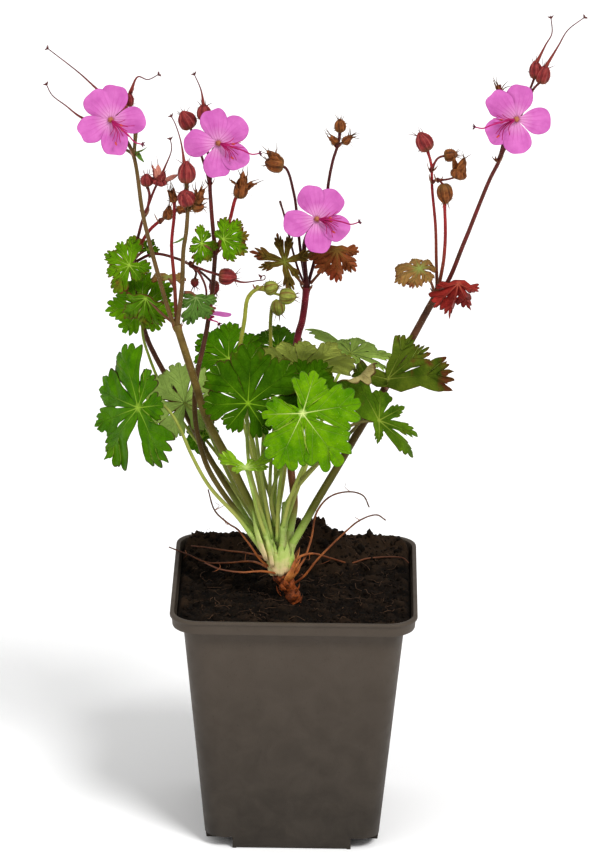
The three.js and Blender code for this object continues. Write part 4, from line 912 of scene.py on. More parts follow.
def leaf_blade(shape, seed):
    """The blade of a leaf in its own plane: points, triangles and marks."""
    draw = np.random.default_rng(seed)
    size, step, cut = shape["size"], shape["step"], shape["cut"]
    lengths = np.array(shape["lengths"]) * size
    count = len(lengths)
    angles = shape["angles"] or [(place - (count - 1) / 2) * step for place in range(count)]
    steps_out = np.append(np.linspace(0, 0.94, shape["rows"]), 1.0)
    points, marks, faces, total = [], [], [], 0
    for lobe, (angle, reach) in enumerate(zip(angles, lengths)):
        halves = []
        for side in (-1, 1):
            beside = (lobe + side) % count
            gap = abs((angles[beside] - angle) % (side * 360)) / 2
            wide = gap > step * WIDE_GAP
            near = (reach + lengths[beside]) / 2
            slit = near * (0.14 if wide else 0.66 * cut)
            half = min(gap, step * 0.56) if wide else gap
            edge = shape["edges"].get(lobe, shape["edge"])
            outline = half_lobe(edge, reach, gap, half, slit, shape["fine"], draw)
            halves.append((side, gap, near * cut, *outline))
        spine = None
        for *_, offsets, parts, _ in halves:
            turned = np.radians(offsets)
            rise = 0.94 * parts * np.cos(turned) - 1.15 * parts * np.sin(turned)
            rise = np.minimum.accumulate(np.maximum(rise, 0))
            spine = rise if spine is None else (spine + rise) / 2
        twist = draw.normal(0, 0.07) + 0.05 * (-1) ** lobe
        for side, gap, deep, offsets, parts, teeth in halves:
            turned = np.radians(offsets)
            rim = np.stack([parts * np.sin(turned), parts * np.cos(turned)], -1)
            middle = np.stack([np.zeros_like(spine), spine], -1)
            grid = middle[None] + steps_out[:, None, None] * (rim - middle)[None]
            x, y = grid[..., 0], grid[..., 1]
            branch = np.full(x.shape, 99.0)
            for tooth in teeth[1:]:
                branch = np.minimum(branch, distance_to(x, y, middle[tooth], rim[tooth]))
            length = np.hypot(x, y)
            share = np.minimum(np.degrees(np.arctan2(x, np.maximum(y, 1e-6))) / gap, 1.0)
            free = np.clip((length - deep) / (0.45 * reach), 0, 1)
            nearest = np.minimum(x, branch)
            pucker = shape["pucker"] * size * (1 - np.exp(-(nearest / (0.08 * size)) ** 2))
            pucker = pucker * np.clip(length / (0.3 * reach), 0, 1) * (1 - share ** 8 * (1 - free))
            height = (shape["cup"] * length ** 2 / size - shape["crease"] * length * share + pucker
                      + twist * side * x * free - 0.05 * size * (length / reach) ** 4)
            sine, cosine = math.sin(math.radians(angle)), math.cos(math.radians(angle))
            wave = waves(side * x * cosine + y * sine, y * cosine - side * x * sine, 0.9 * size,
                         seed + 1, 5)
            height = height + shape["wave"] * wave * length
            start, bend = shape["bends"].get(lobe, (0.45, shape["droop"]))
            out, height = bent(y, height, start * reach, reach, bend)
            points.append(np.stack([side * x * cosine + out * sine, out * cosine - side * x * sine,
                                    height], -1).reshape(-1, 3))
            marks.append(np.stack([x, branch, length / size,
                                   np.broadcast_to(steps_out[:, None], x.shape)], -1).reshape(-1, 4))
            faces.append(sheet_faces(len(steps_out), len(offsets), side < 0) + total)
            total += x.size
    return weld(points, marks, faces, ("rib", "branch", "reach", "margin"))


def facing(face, place):
    """Turns a blade's own plane to the world: turn and tilt aim its face, roll spins its lobes."""
    turn, tilt, roll = (math.radians(angle) for angle in face)
    outward = np.array((math.sin(turn) * math.cos(tilt), -math.cos(turn) * math.cos(tilt),
                        math.sin(tilt)))
    upward = np.array((-math.sin(turn) * math.sin(tilt), math.cos(turn) * math.sin(tilt),
                       math.cos(tilt)))
    lobe = upward * math.cos(roll) + np.cross(upward, outward) * math.sin(roll)
    axes = np.stack([np.cross(lobe, outward), lobe, outward])
    middle = np.array(place, float) + (0, 0, SOIL_LEVEL)
    return lambda points: np.asarray(points, float) @ axes + middle


def blade_skin(name, look):
    """The skin of one side of a blade: two greens, veins, a margin and blotches of age."""
    finish = Finish(name, 0.5, Specular_IOR_Level=0.14, Specular_Tint=(0.9, 1.0, 0.25, 1.0))
    vein, share = look["vein"], look["share"]
    reach = finish.mark("reach")
    colour = finish.mottle(7.0, 4.0, look["low"], look["high"], 0.33, 0.67, 0.5)
    colour = finish.tint(colour, look["low"], finish.noise(2.2, 4.0), 0.45, 0.75, 0.0, 0.35)
    age = finish.combine("ADD", finish.noise(5.5, 3.0, 0.4),
                         finish.span(reach, 0.2, 1.1, -0.25, 0.12))
    colour = finish.tint(colour, look["blotch"], age, 0.62 - 0.3 * share, 0.72 - 0.1 * share,
                         0.0, min(1.0, 2.2 * share))
    width = finish.span(reach, 0.0, 0.7, 0.38, 0.12)
    strength = finish.span(reach, 0.08, 0.62, 0.8, 0.0)
    rib = finish.span(finish.combine("DIVIDE", finish.mark("rib"), width), 0.3, 1.0, 1.0, 0.0)
    thin = finish.span(reach, 0.2, 1.0, 0.34, 0.2)
    branch = finish.span(finish.combine("DIVIDE", finish.mark("branch"), thin), 0.2, 1.0, 0.8, 0.0)
    net = finish.span(finish.cells(1.6, "DISTANCE_TO_EDGE"), 0.02, 0.09, 0.3, 0.0)
    grooves = finish.combine("MAXIMUM", finish.combine("MAXIMUM", rib, branch), net)
    colour = finish.mix(finish.combine("MULTIPLY", rib, strength), colour, vein)
    colour = finish.mix(finish.combine("MULTIPLY", grooves, 0.11), colour, vein)
    if look["hub"]:
        colour = finish.tint(colour, vein, reach, 0.02, look["hub"], 0.9, 0.0)
    edge = finish.combine("MULTIPLY",
                          finish.span(finish.mark("margin"), look["rim"], look["rim"] + 0.055),
                          finish.span(finish.noise(6.0), 0.35, 0.6, 0.25, 1.0))
    colour = finish.mix(edge, colour, look["margin"])
    colour = finish.tint(colour, vein, finish.cells(1.3), 0.05, 0.1, 0.5, 0.0)
    height = finish.combine("ADD", finish.noise(0.6, 3.0), finish.combine("MULTIPLY", grooves, -1.3))
    finish.relief(height, 0.22)
    return finish.done(colour, finish.span(finish.noise(3.0), 0.3, 0.7, 0.42, 0.62))


def stalk_skin(name, low, high, foot=None, base=None):
    """A stalk in two colours, with another over its lower part and over its very base."""
    finish = Finish(name, 0.45, Specular_IOR_Level=0.2)
    colour = finish.mottle(5.0, 3.0, low, high)
    for tone, share in ((foot, 0.65), (base, 0.14)):
        if tone:
            colour = finish.tint(colour, tone, finish.mark("along"), 0.15 * share, share, 1.0, 0.0)
    colour = finish.tint(colour, (120, 60, 52), finish.noise(1.0, 4.0), 0.6, 0.72, 0.0, 0.3)
    finish.relief(finish.noise(0.35, 2.0), 0.08)
    return finish.done(colour)


PALE_BASE = (156, 180, 92)
# Each look's colour for the back is the leaf's paler underside, brightened further as painted light
# shining through the blade.
LEAF_LOOKS = {
    "bright": {"low": (70, 120, 0), "high": (110, 154, 6), "vein": (206, 222, 140),
               "margin": (76, 106, 44), "blotch": (92, 120, 24), "share": 0.1, "hub": 0.08,
               "under": (128, 150, 60), "stalk": (112, 128, 40), "stalk_high": (150, 164, 76)},
    "fresh": {"low": (54, 102, 0), "high": (84, 132, 4), "vein": (156, 190, 66),
              "margin": (70, 60, 40), "blotch": (84, 102, 24), "share": 0.15, "hub": 0.08,
              "under": (122, 146, 56), "stalk": (124, 134, 52), "stalk_high": (160, 166, 84)},
    "deep": {"low": (36, 74, 0), "high": (64, 104, 2), "vein": (124, 160, 40),
             "margin": (80, 50, 34), "blotch": (84, 58, 24), "share": 0.15, "hub": 0.06,
             "under": (132, 154, 82), "stalk": (104, 118, 44), "stalk_high": (140, 154, 74)},
    "dull": {"low": (60, 76, 14), "high": (88, 104, 28), "vein": (132, 142, 58),
             "margin": (120, 120, 56), "blotch": (112, 108, 50), "share": 0.2, "hub": 0.04,
             "under": (162, 172, 88), "stalk": (104, 90, 44), "stalk_high": (134, 116, 60)},
    "tent": {"low": (104, 134, 50), "high": (134, 162, 78), "vein": (176, 194, 112),
             "margin": (120, 140, 70), "blotch": (96, 120, 50), "share": 0.2, "hub": 0.04,
             "under": (180, 208, 110), "stalk": (132, 150, 56), "stalk_high": (172, 186, 92)},
    "dusky": {"low": (52, 82, 10), "high": (92, 122, 24), "vein": (138, 154, 62),
              "margin": (84, 62, 36), "blotch": (96, 84, 40), "share": 0.35, "hub": 0.05,
              "under": (158, 148, 100), "stalk": (84, 76, 40), "stalk_high": (116, 110, 58)},
    "young": {"low": (112, 150, 22), "high": (144, 180, 50), "vein": (196, 216, 130),
              "margin": (116, 136, 56), "blotch": (120, 140, 50), "share": 0.1, "hub": 0.3,
              "under": (160, 190, 84), "stalk": (132, 156, 66), "stalk_high": (166, 186, 100)},
}


def look_skins(name, look):
    """The three skins of a leaf: face, back and stalk, the back paler and brightened by painted light
    shining through the blade.
    """
    look = {"rim": MARGIN_START, **look}
    # The back's colours: partly the leaf's paler underside, partly painted light shining through the
    # thin blade.
    pale, vein = (tuple(min(255, round(value * lift)) for value in look["under"])
                  for lift in (1.14, 1.32))
    back = {**look, "low": look["under"], "high": pale, "vein": vein, "hub": 0,
            "share": 0.6 * look["share"], "rim": MARGIN_START}
    return [blade_skin(name + "_face", look), blade_skin(name + "_back", back),
            stalk_skin(name + "_stalk", look["stalk"], look["stalk_high"], look["stalk_foot"],
                       look["base"])]


# How a leaf grows where its own values don't say otherwise. In degrees: the step between its
# lobes and how far they droop. In parts of a lobe or of the blade: how deep the slits are cut,
# and its cup, creases, waves and puckers. Then its stalk's radius and how fine its grid is.
LEAF_HABIT = {"step": 48, "angles": None, "edge": FULL, "edges": {}, "cut": 0.42, "cup": 0,
              "crease": 0.08, "wave": 0.035, "pucker": 0.034, "droop": 0, "bends": {},
              "radius": 0.75, "more": [], "fine": 3, "rows": 9}


def stalk_swell(share):
    """A stalk widens a little at its foot, and more where it holds the blade."""
    return (1 + 0.15 * np.exp(-(share / 0.06) ** 2) + 0.35 * np.exp(-((1 - share) / 0.03) ** 2))


def make_leaf(name, shape, look, seed):
    shape = {**LEAF_HABIT, **shape}
    points, faces, marks = leaf_blade(shape, seed)
    turn = facing(shape["face"], shape["route"][-1])
    seat = turn((0, 0, -0.75)) - (0, 0, SOIL_LEVEL)
    shells = thicken(turn(points), faces, BLADE_THICKNESS, marks, (FACE, BACK))
    for path in ([*shape["route"][:-1], tuple(seat)], *shape["more"]):
        shells.append(tube(raised(path), shape["radius"], 10, 7, 0.72, LEAF_STALK, 0.06, seed,
                           stalk_swell))
    make_piece(name, shells, look_skins(name, look), name)


# Each leaf: its stalk's route in mm, from the crown to the middle of its blade; the blade's size
# in mm; where it faces, as turn, tilt and roll in degrees; and the lengths of its lobes in parts
# of the size. Angles, bends and edges are given by lobe, and more holds the bare stalks beside it.
CROWN_LEAVES = {
    "leaf_01_left": {
        "route": [(-16, -21, 28), (-20.5, -21.5, 34.5), (-31, -24, 47.5), (-37.5, -26, 60.5),
                  (-41.5, -27, 70.5), (-45.5, -26, 77), (-50.5, -24, 80), (-57, -24, 77.5)],
        "size": 26, "face": (-50, 12, 250), "look": "fresh", "edges": {1: TOOTHED, 2: TOOTHED},
        "lengths": [0.5, 0.95, 1.1, 1, 0.95, 0.95, 0.58], "cut": 0.5,
        "angles": [-180, -122, -37, -9, 20, 74, 118]},
    "leaf_02_centre": {
        "route": [(-11, -20, 32), (-13.5, -22, 42), (-16.5, -23, 54), (-17.5, -25, 66),
                  (-17.5, -26, 74), (-17.2, -28, 81.2)],
        "size": 22, "face": (5, 30, 5), "look": "deep", "cut": 0.36,
        "lengths": [0.55, 0.75, 0.88, 1, 1.02, 0.95, 0.6],
        "more": [[(-8.5, -19, 26), (-12, -23, 49.5), (-14, -24, 65.5), (-15, -24, 72)]]},
    "leaf_03_front": {
        "route": [(-4.5, -21, 30.5), (-2, -26, 43.5), (1.5, -31, 55), (4.5, -34, 64),
                  (5, -34, 71.5), (2.5, -36, 80.5)],
        "size": 23, "face": (0, 25, 142), "look": "bright", "step": 63, "cup": -0.1,
        "lengths": [0.7, 0.93, 1, 0.95, 0.64], "cut": 0.34, "edge": SCALLOPED,
        "more": [[(-6.5, -19, 25), (-6.2, -22, 40), (-4.8, -24, 55.5), (-4, -25, 60)]]},
    "leaf_04_underside": {
        "route": [(-14, -14, 30), (-22, -9, 41.5), (-27, -5, 50.5), (-32.5, -2, 61.5),
                  (-36, -1, 66.5), (-41, 1, 70.5)],
        "size": 16, "face": (180, -35, 10), "cup": 0.15, "crease": 0.03, "look": "deep",
        "lengths": [0.8, 0.92, 1, 1, 1, 0.92, 0.85]},
    "leaf_05_back_left": {
        "route": [(-11.5, -9, 30.5), (-14, 0, 41.5), (-19, 12, 56.5), (-23, 20, 69),
                  (-25.5, 24, 80)],
        "size": 15.5, "face": (0, 45, 0), "look": "fresh",
        "lengths": [0.5, 0.85, 0.98, 1, 0.95, 0.85, 0.5]},
    "leaf_06_back": {
        "route": [(-6.5, -10, 31.5), (-4.5, -4, 43), (-2.5, 1, 60.5), (0, 4, 75), (1, 6, 83.5)],
        "size": 18, "face": (175, 35, 0), "cup": 0.1, "cut": 0.85, "look": "dull",
        "edge": ROUNDED, "angles": [-150, -78, -46, -12, 22, 54, 88],
        "lengths": [0.35, 1.15, 1.08, 0.9, 0.85, 0.9, 0.8]},
    "leaf_07_tent": {
        "route": [(-3.5, -12, 29.5), (0.5, -8, 40.5), (7, 3, 56), (13, 11, 74), (19.5, 17, 85.5)],
        "size": 21, "face": (170, 30, -75), "look": "tent", "droop": 32, "cut": 0.6, "pucker": 0.02,
        "lengths": [0.3, 0.84, 1, 0.62, 0.62, 0.55, 1.08], "angles": [-62, -37, -15, 22, 55, 88, 120],
        "edges": {1: POINTED, 2: POINTED, 6: POINTED}},
    "leaf_09_right": {
        "route": [(-4, -14, 36.5), (1.5, -15, 45.5), (10.5, -16, 57), (17.5, -17, 67.5),
                  (23, -17, 70.5), (30, -16, 71)],
        "size": 19, "face": (20, 30, 125), "cup": -0.12, "look": "dusky", "edge": POINTED,
        "edges": {0: ROUNDED, 1: ROUNDED}, "angles": [-145, -111, -56, -11, 12, 62],
        "lengths": [1.15, 0.62, 0.74, 1, 1.12, 0.5],
        "bends": {0: (0.5, -165), 2: (0.4, 25), 3: (0.45, 30), 4: (0.5, 25), 5: (0.3, 40)},
        "more": [[(-4.5, -13, 35), (2, -10, 45.5), (10.5, -6, 53), (16.3, -4, 58), (23.5, -4, 66.5),
                  (27, -2, 73)]]},
    "leaf_10_behind": {
        "route": [(-6.5, -16, 32), (-5.5, -15, 47), (-2, -10, 64.5), (2.5, -6, 78.5)],
        "size": 13.5, "face": (0, 15, 40), "look": "deep",
        "lengths": [0.5, 0.7, 0.85, 1, 1, 0.85, 0.5],
        "more": [[(-7.5, -17, 30), (-9.2, -18, 44.5), (-8.7, -14, 58.5), (-8, -12, 67)],
                 [(-7, -17, 30), (-8.8, -20, 42), (-5, -18, 54), (-2, -16, 60)]]},
    "leaf_11_unfolding": {
        "route": [(-10.5, -22, 27.5), (-13.5, -26, 38.5), (-15.5, -30.5, 49), (-17.5, -33, 58.5)],
        "size": 9.5, "face": (0, 70, 0), "cup": 0.3, "look": "young", "edge": TOOTHED,
        "angles": [-112, -70, 28, 64, 98], "lengths": [0.6, 1.15, 0.55, 1.15, 0.85]},
    "leaf_12_small": {
        "route": [(-13, -6, 30), (-20.5, 0, 38), (-28, 5, 48), (-34.5, 8, 55)],
        "size": 8.4, "face": (-30, 20, -60), "step": 60, "look": "fresh",
        "lengths": [0.8, 0.9, 1, 0.95, 0.8]},
    "leaf_13_far": {
        "route": [(-10.5, -5, 31), (-12.5, 8, 42.5), (-11.5, 24, 60), (-7.5, 37, 80)],
        "size": 12, "face": (0, 60, 0), "look": "deep",
        "lengths": [0.6, 0.8, 0.9, 1, 0.9, 0.8, 0.6],
        "more": [[(-6.5, -15, 30), (-9, -15, 40), (-12.3, -12, 51), (-11, -8, 60), (-10, -5, 68)]]},
    "leaf_14_upper_left": {
        "route": [(-15.5, -8, 29.5), (-26, 1, 41.5), (-41, 8, 59.5), (-50, 10, 74.5),
                  (-54.5, 10, 86), (-56.5, 9, 94), (-56.5, 7, 105.5)],
        "size": 13.5, "face": (0, 10, 0), "radius": 0.65, "look": "bright", "edge": SCALLOPED,
        "cut": 0.5, "lengths": [0.9, 1, 0.95, 1, 1, 0.95, 0.8]},
}

for place, (name, shape) in enumerate(CROWN_LEAVES.items()):
    look = {"stalk_foot": (172, 176, 96), "base": PALE_BASE, **LEAF_LOOKS[shape["look"]]}
    make_leaf(name, shape, look, 100 + 7 * place)

# -------- flowering stems
# Thin leafy stems that fork at swollen, jointed knobs with little papery scales. They carry the
# flower stalks, the ribbed and bristly calyces with their long styles, and the dried heads.

# The skins of a stem, in the order of its material slots.
(STALK, BRANCH, CRIMSON, DRIED, GREEN, CRIMSON_AWN, BROWN_AWN, STYLE, SCALE, HAIR, RED_STALK,
 CALYX_INSIDE, LEAFLET) = range(13)
SEPAL_GRID = (12, 7)
SEPAL_TIP = (SEPAL_GRID[0] - 1) * SEPAL_GRID[1] + SEPAL_GRID[1] // 2
SEPAL_THICKNESS = 0.22
BRISTLE_COUNT = 34
HAIRS_PER_MM = 4
STIGMA_BRANCHES = 5

# Each stem: first the main stem and then its branches, as a route in mm, a radius, how far it
# tapers and the flower that it carries; then its buds, as a place, the way they point, a length, a
# width and a kind. Red names the branches that are red, and styles are the routes of long styles.
FLOWER_STEMS = {
    "stem_a": {"look": "stemBrown", "red": (3, 4), "stems": [
        ([(-16.5, -15, 30), (-22.5, -11, 38.5), (-33.5, -1, 53.5), (-47.5, 14, 75), (-55.5, 16, 91),
          (-58.5, 15, 105.5), (-61, 10, 120.5)], 1.1),
        ([(-61, 10, 120.5), (-58.5, 9, 130), (-56.5, 8, 138), (-55, 8, 141.5), (-54, 8, 148),
          (-55, 8, 151.5)], 0.6),
        ([(-55.5, 8, 140.5), (-52.5, 8, 149), (-50.5, 8, 153.5)], 0.5),
        ([(-61, 10, 120.5), (-54, 7, 134.5), (-49.5, 6, 139), (-47, 5, 141)], 0.7),
        ([(-50, 6, 138.5), (-45.5, 5, 142.5), (-43, 5, 143.5)], 0.5),
        ([(-61, 10, 120.5), (-52.5, 9, 125), (-44, 7, 124), (-38.5, 4, 122.5), (-32, 1, 121),
          (-27.5, 0, 120)], 0.55),
        ([(-39, 4, 123), (-33.5, 8, 117), (-31, 9, 114)], 0.5),
        ([(-39, 4, 123), (-37, 5, 119.5), (-37.5, 6, 116.5)], 0.45),
        ([(-39, 4, 122.5), (-36, 1, 121), (-33.5, -1, 116.5), (-33, -1.5, 113)], 0.45, 0.8, "flower_5"),
    ], "buds": [
        ((-55, 8, 151.5), (0, 0, 1), 4.6, 4.6, "calyx"),
        ((-50.5, 8, 152.5), (0.25, -0.2, 1), 7, 6.4, "star"),
        ((-47.5, 5, 140), (0.2, 0, 1), 5.4, 4.4, "ragged"),
        ((-43.5, 5, 143), (1, 0, 0.4), 5, 3.6, "gaping"),
        ((-28, 0, 120), (1, 0, -0.1), 6.6, 5.8, "calyx"),
        ((-30.5, 9, 114.5), (0, 0, -1), 5.4, 3.6, "calyx"),
        ((-37.5, 6, 116.5), (0, 0, -1), 3.4, 2.8, "calyx"),
    ], "styles": [
        [(-26, 0, 120), (-20.5, -1, 118), (-14.5, -2, 119), (-12, -2, 119.5), (-12, -2, 121),
         (-13.5, -2, 120.5)],
        [(-50.5, 8, 153), (-48.5, 8, 158), (-46, 8, 165), (-46.5, 8, 169)],
    ]},
    "stem_b": {"look": "stemMixed", "red": (5,), "stems": [
        ([(-12, -17, 29), (-17.5, -18, 41), (-24, -17, 54.5), (-32.5, -13, 70), (-37.5, -10, 85),
          (-43.5, -8, 103.5)], 1.6, 0.85),
        ([(-43.5, -8, 102.5), (-45.5, -8, 106.5), (-49.5, -9, 120.5), (-52, -10, 130.5),
          (-55.5, -12, 146.5), (-59, -14, 170), (-63, -13, 177)], 0.85, 0.75, "flower_1"),
        ([(-58.5, -14, 169.5), (-59, -9, 179), (-62.5, -8, 184)], 0.5),
        ([(-58.5, -14, 169.5), (-64, -9, 171.5), (-70, -8, 177.5)], 0.5),
        ([(-58.5, -14, 169.5), (-58, -7, 178.5), (-60.5, -6, 186)], 0.45),
        ([(-43.5, -8, 102.5), (-44.5, -5, 119.5), (-45.5, -5, 133), (-44.5, -6, 145),
          (-44.5, -7, 150.5)], 0.7),
        ([(-43.5, -8, 102.5), (-41.5, -11, 119.5), (-41, -12, 133.5), (-40, -12, 140.5),
          (-39.5, -12, 150), (-40, -12, 159)], 0.85),
        ([(-39.5, -12, 148.5), (-36.5, -12, 150.5), (-36, -12, 152.5)], 0.5),
    ], "buds": [
        ((-40, -12, 159.5), (0, 0, 1), 8, 6.2, "calyx"),
        ((-39.5, -12.5, 151.5), (-0.3, -0.4, 1), 6, 6.4, "calyx"),
        ((-44.5, -7, 150.5), (-0.3, 0, 1), 5, 4, "gaping"),
        ((-36, -12, 151.5), (0.3, 0, 1), 6, 4, "ragged"),
        ((-37.5, -12, 149.5), (1, 0.4, 0), 4.6, 3.6, "dry"),
        ((-62.5, -8, 183.5), (-0.6, 0, 0.6), 6, 5, "calyx"),
        ((-70, -8, 177.5), (-0.8, 0, 0.3), 6, 5, "calyx"),
        ((-60.5, -6, 185.5), (0, 0, 1), 5.2, 3, "calyx"),
    ], "leaflets": [
        ((-58, -14, 170), (-54, -15, 172.5), 1.2),
        ((-58, -14, 170.5), (-55, -15, 167), 1.6),
        ((-40.5, -12, 138), (-45, -12.5, 136), 1.0),
    ], "styles": [
        [(-60.2, -6, 190), (-57.5, -6, 196), (-54, -6, 195), (-50, -6, 197)],
        [(-64.5, -8, 186), (-71, -8, 191), (-78, -8, 197.5), (-89.5, -9, 207)],
        [(-72, -8, 179), (-78, -8, 181.5), (-83, -8, 185.5), (-88, -8, 189.5), (-90, -8, 193.5)],
        [(-40.5, -12, 164), (-42, -12, 174), (-44, -12, 180.5), (-45.5, -12, 183.5)],
    ]},
    "stem_c": {"look": "stemBrown", "red": (4,), "stems": [
        ([(-14, -18, 26.5), (-22, -17, 36.5), (-28, -15.5, 44.5), (-32.5, -13, 52), (-36, -10, 63.5),
          (-37, -7, 73), (-36.5, -4, 81.5), (-33, 2, 98.5), (-31, 4, 113), (-30, 5, 128)], 1),
        ([(-30, 5, 127.5), (-30.5, 5, 132), (-31.5, 4.5, 143.5), (-32, 4, 155),
          (-31, 5, 162)], 0.8, 0.8, "flower_2"),
        ([(-32, 4, 153.5), (-33, 8, 165), (-34.5, 9, 177)], 0.5),
        ([(-32, 4, 153.5), (-36, 9, 164.5), (-39.5, 10, 173)], 0.5),
        ([(-30, 5, 127.5), (-25, 6, 139), (-23, 6, 147), (-21.5, 6, 150)], 0.75),
    ], "buds": [
        ((-34.5, 9, 176.5), (0, 0, 1), 6, 5, "calyx"),
        ((-39.5, 10, 173), (-0.5, 0, 1), 7, 6.4, "calyx"),
        ((-21.5, 6, 148.5), (0.2, 0, 1), 9.4, 6, "ragged"),
    ], "styles": [
        [(-34.5, 9, 180.5), (-35.5, 9, 187), (-38, 9, 193)],
    ]},
    "stem_d": {"look": "stemCrimson", "stems": [
        ([(-2, -13, 25.5), (-0.5, -4, 33.5), (-2, 5, 45), (-2.5, 16, 67), (0, 22, 90), (1.5, 23, 95.5),
          (3, 24, 108)], 1.4, 0.9),
        ([(3, 24, 107.5), (2, 22, 125), (3.5, 20, 130.5)], 0.9, 0.8, "flower_3"),
        ([(3, 24, 107.5), (0.5, 27, 121.5), (-1, 27, 136), (-2, 25, 143.5), (-5, 24, 153.5),
          (-7.5, 24, 154.5)], 0.6),
        ([(3, 24, 107.5), (6, 27, 118.5), (9.5, 27, 135), (10.5, 25, 147.5), (12, 24, 156.5),
          (14, 24, 163.5), (14.5, 24, 168)], 0.65),
        ([(13.5, 24, 162), (12.5, 24, 164)], 0.4),
        ([(13.5, 24, 162), (16, 24, 164)], 0.4),
        ([(3, 24, 107.5), (0, 21, 115.5), (-2.5, 20, 124.5), (-5.5, 19, 137.5), (-7, 19, 142.5)], 0.45),
    ], "buds": [
        ((-6.5, 24, 154.5), (-1, 0, 0.2), 7, 6, "dry"),
        ((-8.5, 24, 156), (-0.6, 0, 1), 5.4, 5, "ragged"),
        ((14.5, 24, 168), (0, 0, 1), 5, 4.2, "dry"),
        ((13, 24, 163.5), (-0.6, 0, 0.8), 4.2, 3.6, "gaping"),
        ((16, 24, 163.5), (0.7, 0, 0.7), 4.6, 3.6, "ragged"),
    ]},
    "stem_e": {"look": "stemGreenFoot", "red": (4, 6), "stems": [
        ([(-1, -17, 23), (1.5, -17, 27.5), (8, -11, 38), (15, -5, 48.5), (23, 0, 61.5), (33, 4, 78),
          (41.5, 6, 94.5), (48, 6, 107.5), (51, 6, 113)], 1.5, 0.85),
        ([(50.5, 6, 112.5), (53.5, 6, 115.5), (60, 5, 132.5), (68.5, 2, 157), (72, 1, 165),
          (74.5, 0.5, 173)], 0.85, 0.75, "flower_4"),
        ([(71.5, 1, 164.5), (78, 4, 177), (82, 4, 189.5), (84, 4, 195.5)], 0.5),
        ([(82, 4, 188.5), (84.5, 3, 192), (86, 3, 193.5)], 0.45),
        ([(50.5, 6, 112.5), (50, 8, 124.5), (49.5, 8, 137), (48, 8, 151.5), (47.5, 8, 160.5),
          (46, 8, 166)], 0.6),
        ([(47.5, 8, 158.5), (50, 8, 163), (53, 8, 164)], 0.45),
        ([(50.5, 6, 112.5), (52.5, 3, 125.5), (53, 3, 135.5), (52.5, 3, 147.5)], 0.7),
        ([(48, 8, 154), (50, 5.5, 155.5), (52.2, 3.2, 154.2)], 0.4),
        ([(50, 5.5, 155.4), (53.5, 3, 156.6), (57, 2, 158)], 0.4),
        ([(71.5, 1, 164.5), (73.5, 5, 174.5), (71.5, 5, 191.5)], 0.4),
    ], "buds": [
        ((46, 8, 166.5), (-0.5, 0, 1), 7.4, 6.2, "calyx"),
        ((52.5, 8, 164), (1, 0, 0.1), 5, 4.4, "dry"),
        ((57, 2, 158), (0.3, 0, 1), 8, 6.8, "gaping"),
        ((52.2, 3, 154), (0.12, 0, -1), 7.6, 5.6, "dry"),
        ((84, 4, 195), (0, 0, 1), 6.6, 4.6, "calyx"),
        ((86, 3, 193.5), (0.3, 0, 1), 7, 5, "calyx"),
        ((72, 5, 187), (-0.35, 0, 1), 5.6, 2, "ragged"),
    ], "styles": [
        [(84, 4, 199.5), (87.5, 4, 207), (89.5, 4, 211), (89, 4, 217)],
        [(87, 3, 198), (92, 3, 207), (95, 3, 212.5), (101, 3, 217.5)],
    ]},
    "stem_f": {"look": "stemOlive", "stems": [
        ([(-9, -15, 29), (-11.5, -16, 41.5), (-15, -14, 58), (-19.5, -13, 77), (-21, -11, 91.5),
          (-19, -9, 106.5), (-18, -8, 114), (-16, -7, 116.5), (-13.5, -6, 117.5),
          (-10.5, -5, 117)], 0.9),
        ([(-14.5, -6, 117.5), (-8.5, -6, 115.5), (-5.5, -5, 114.5)], 0.5),
    ], "buds": [
        ((-11.5, -5, 117), (1, 0, 0.2), 5.4, 5, "green"),
        ((-6, -5, 114.5), (1, 0, -0.1), 6.4, 5.6, "green"),
    ]},
    "stem_g": {"look": "stemOlive", "stems": [
        ([(-8, -5, 29.5), (-7.5, 5, 43.5), (-9, 14, 67.5), (-10, 20, 89), (-10, 19, 98), (-9, 17, 104),
          (-7.5, 17, 105)], 0.8),
    ], "buds": [
        ((-7.5, 17, 104.5), (0.1, 0, -1), 6, 5, "green"),
    ]},
}


def fork(place, radius, seed):
    """The swollen joint where a branch starts, between two papery scales."""
    start = np.random.default_rng(seed).uniform(0, 6)
    size = 1.25 * radius + 0.2
    shells = [round_body(np.array(place) + (0, 0, SOIL_LEVEL), (size, size, 1.45 * size), (16, 11),
                         lambda turns, rises: 1 + 0.09 * np.sin(3 * turns + start) * np.cos(2 * rises),
                         BRANCH)]
    draw = np.random.default_rng(seed + 40)
    for side in (-1, 1):
        foot = np.array(place) + (side * 1.1 * radius, -0.4, SOIL_LEVEL - 0.6)
        tip = foot + (side * draw.uniform(0.8, 2.0), draw.uniform(-1.4, 0.3), draw.uniform(2.2, 3.8))
        shells += sheath(foot, tip, 0.75, 0.2, seed, SCALE)
    return shells


def spike(foot, direction, length, radius, skin, bend=0.0):
    """A thin bristle or awn, bent a little."""
    direction = unit(np.array(direction, float))
    across = np.cross(direction, (0.3, 0.9, 0.2))
    middle = foot + 0.55 * length * direction + bend * across
    end = foot + length * direction + 2.4 * bend * across
    return tube([foot, middle, end], radius, 4, 3, 0.25, skin)


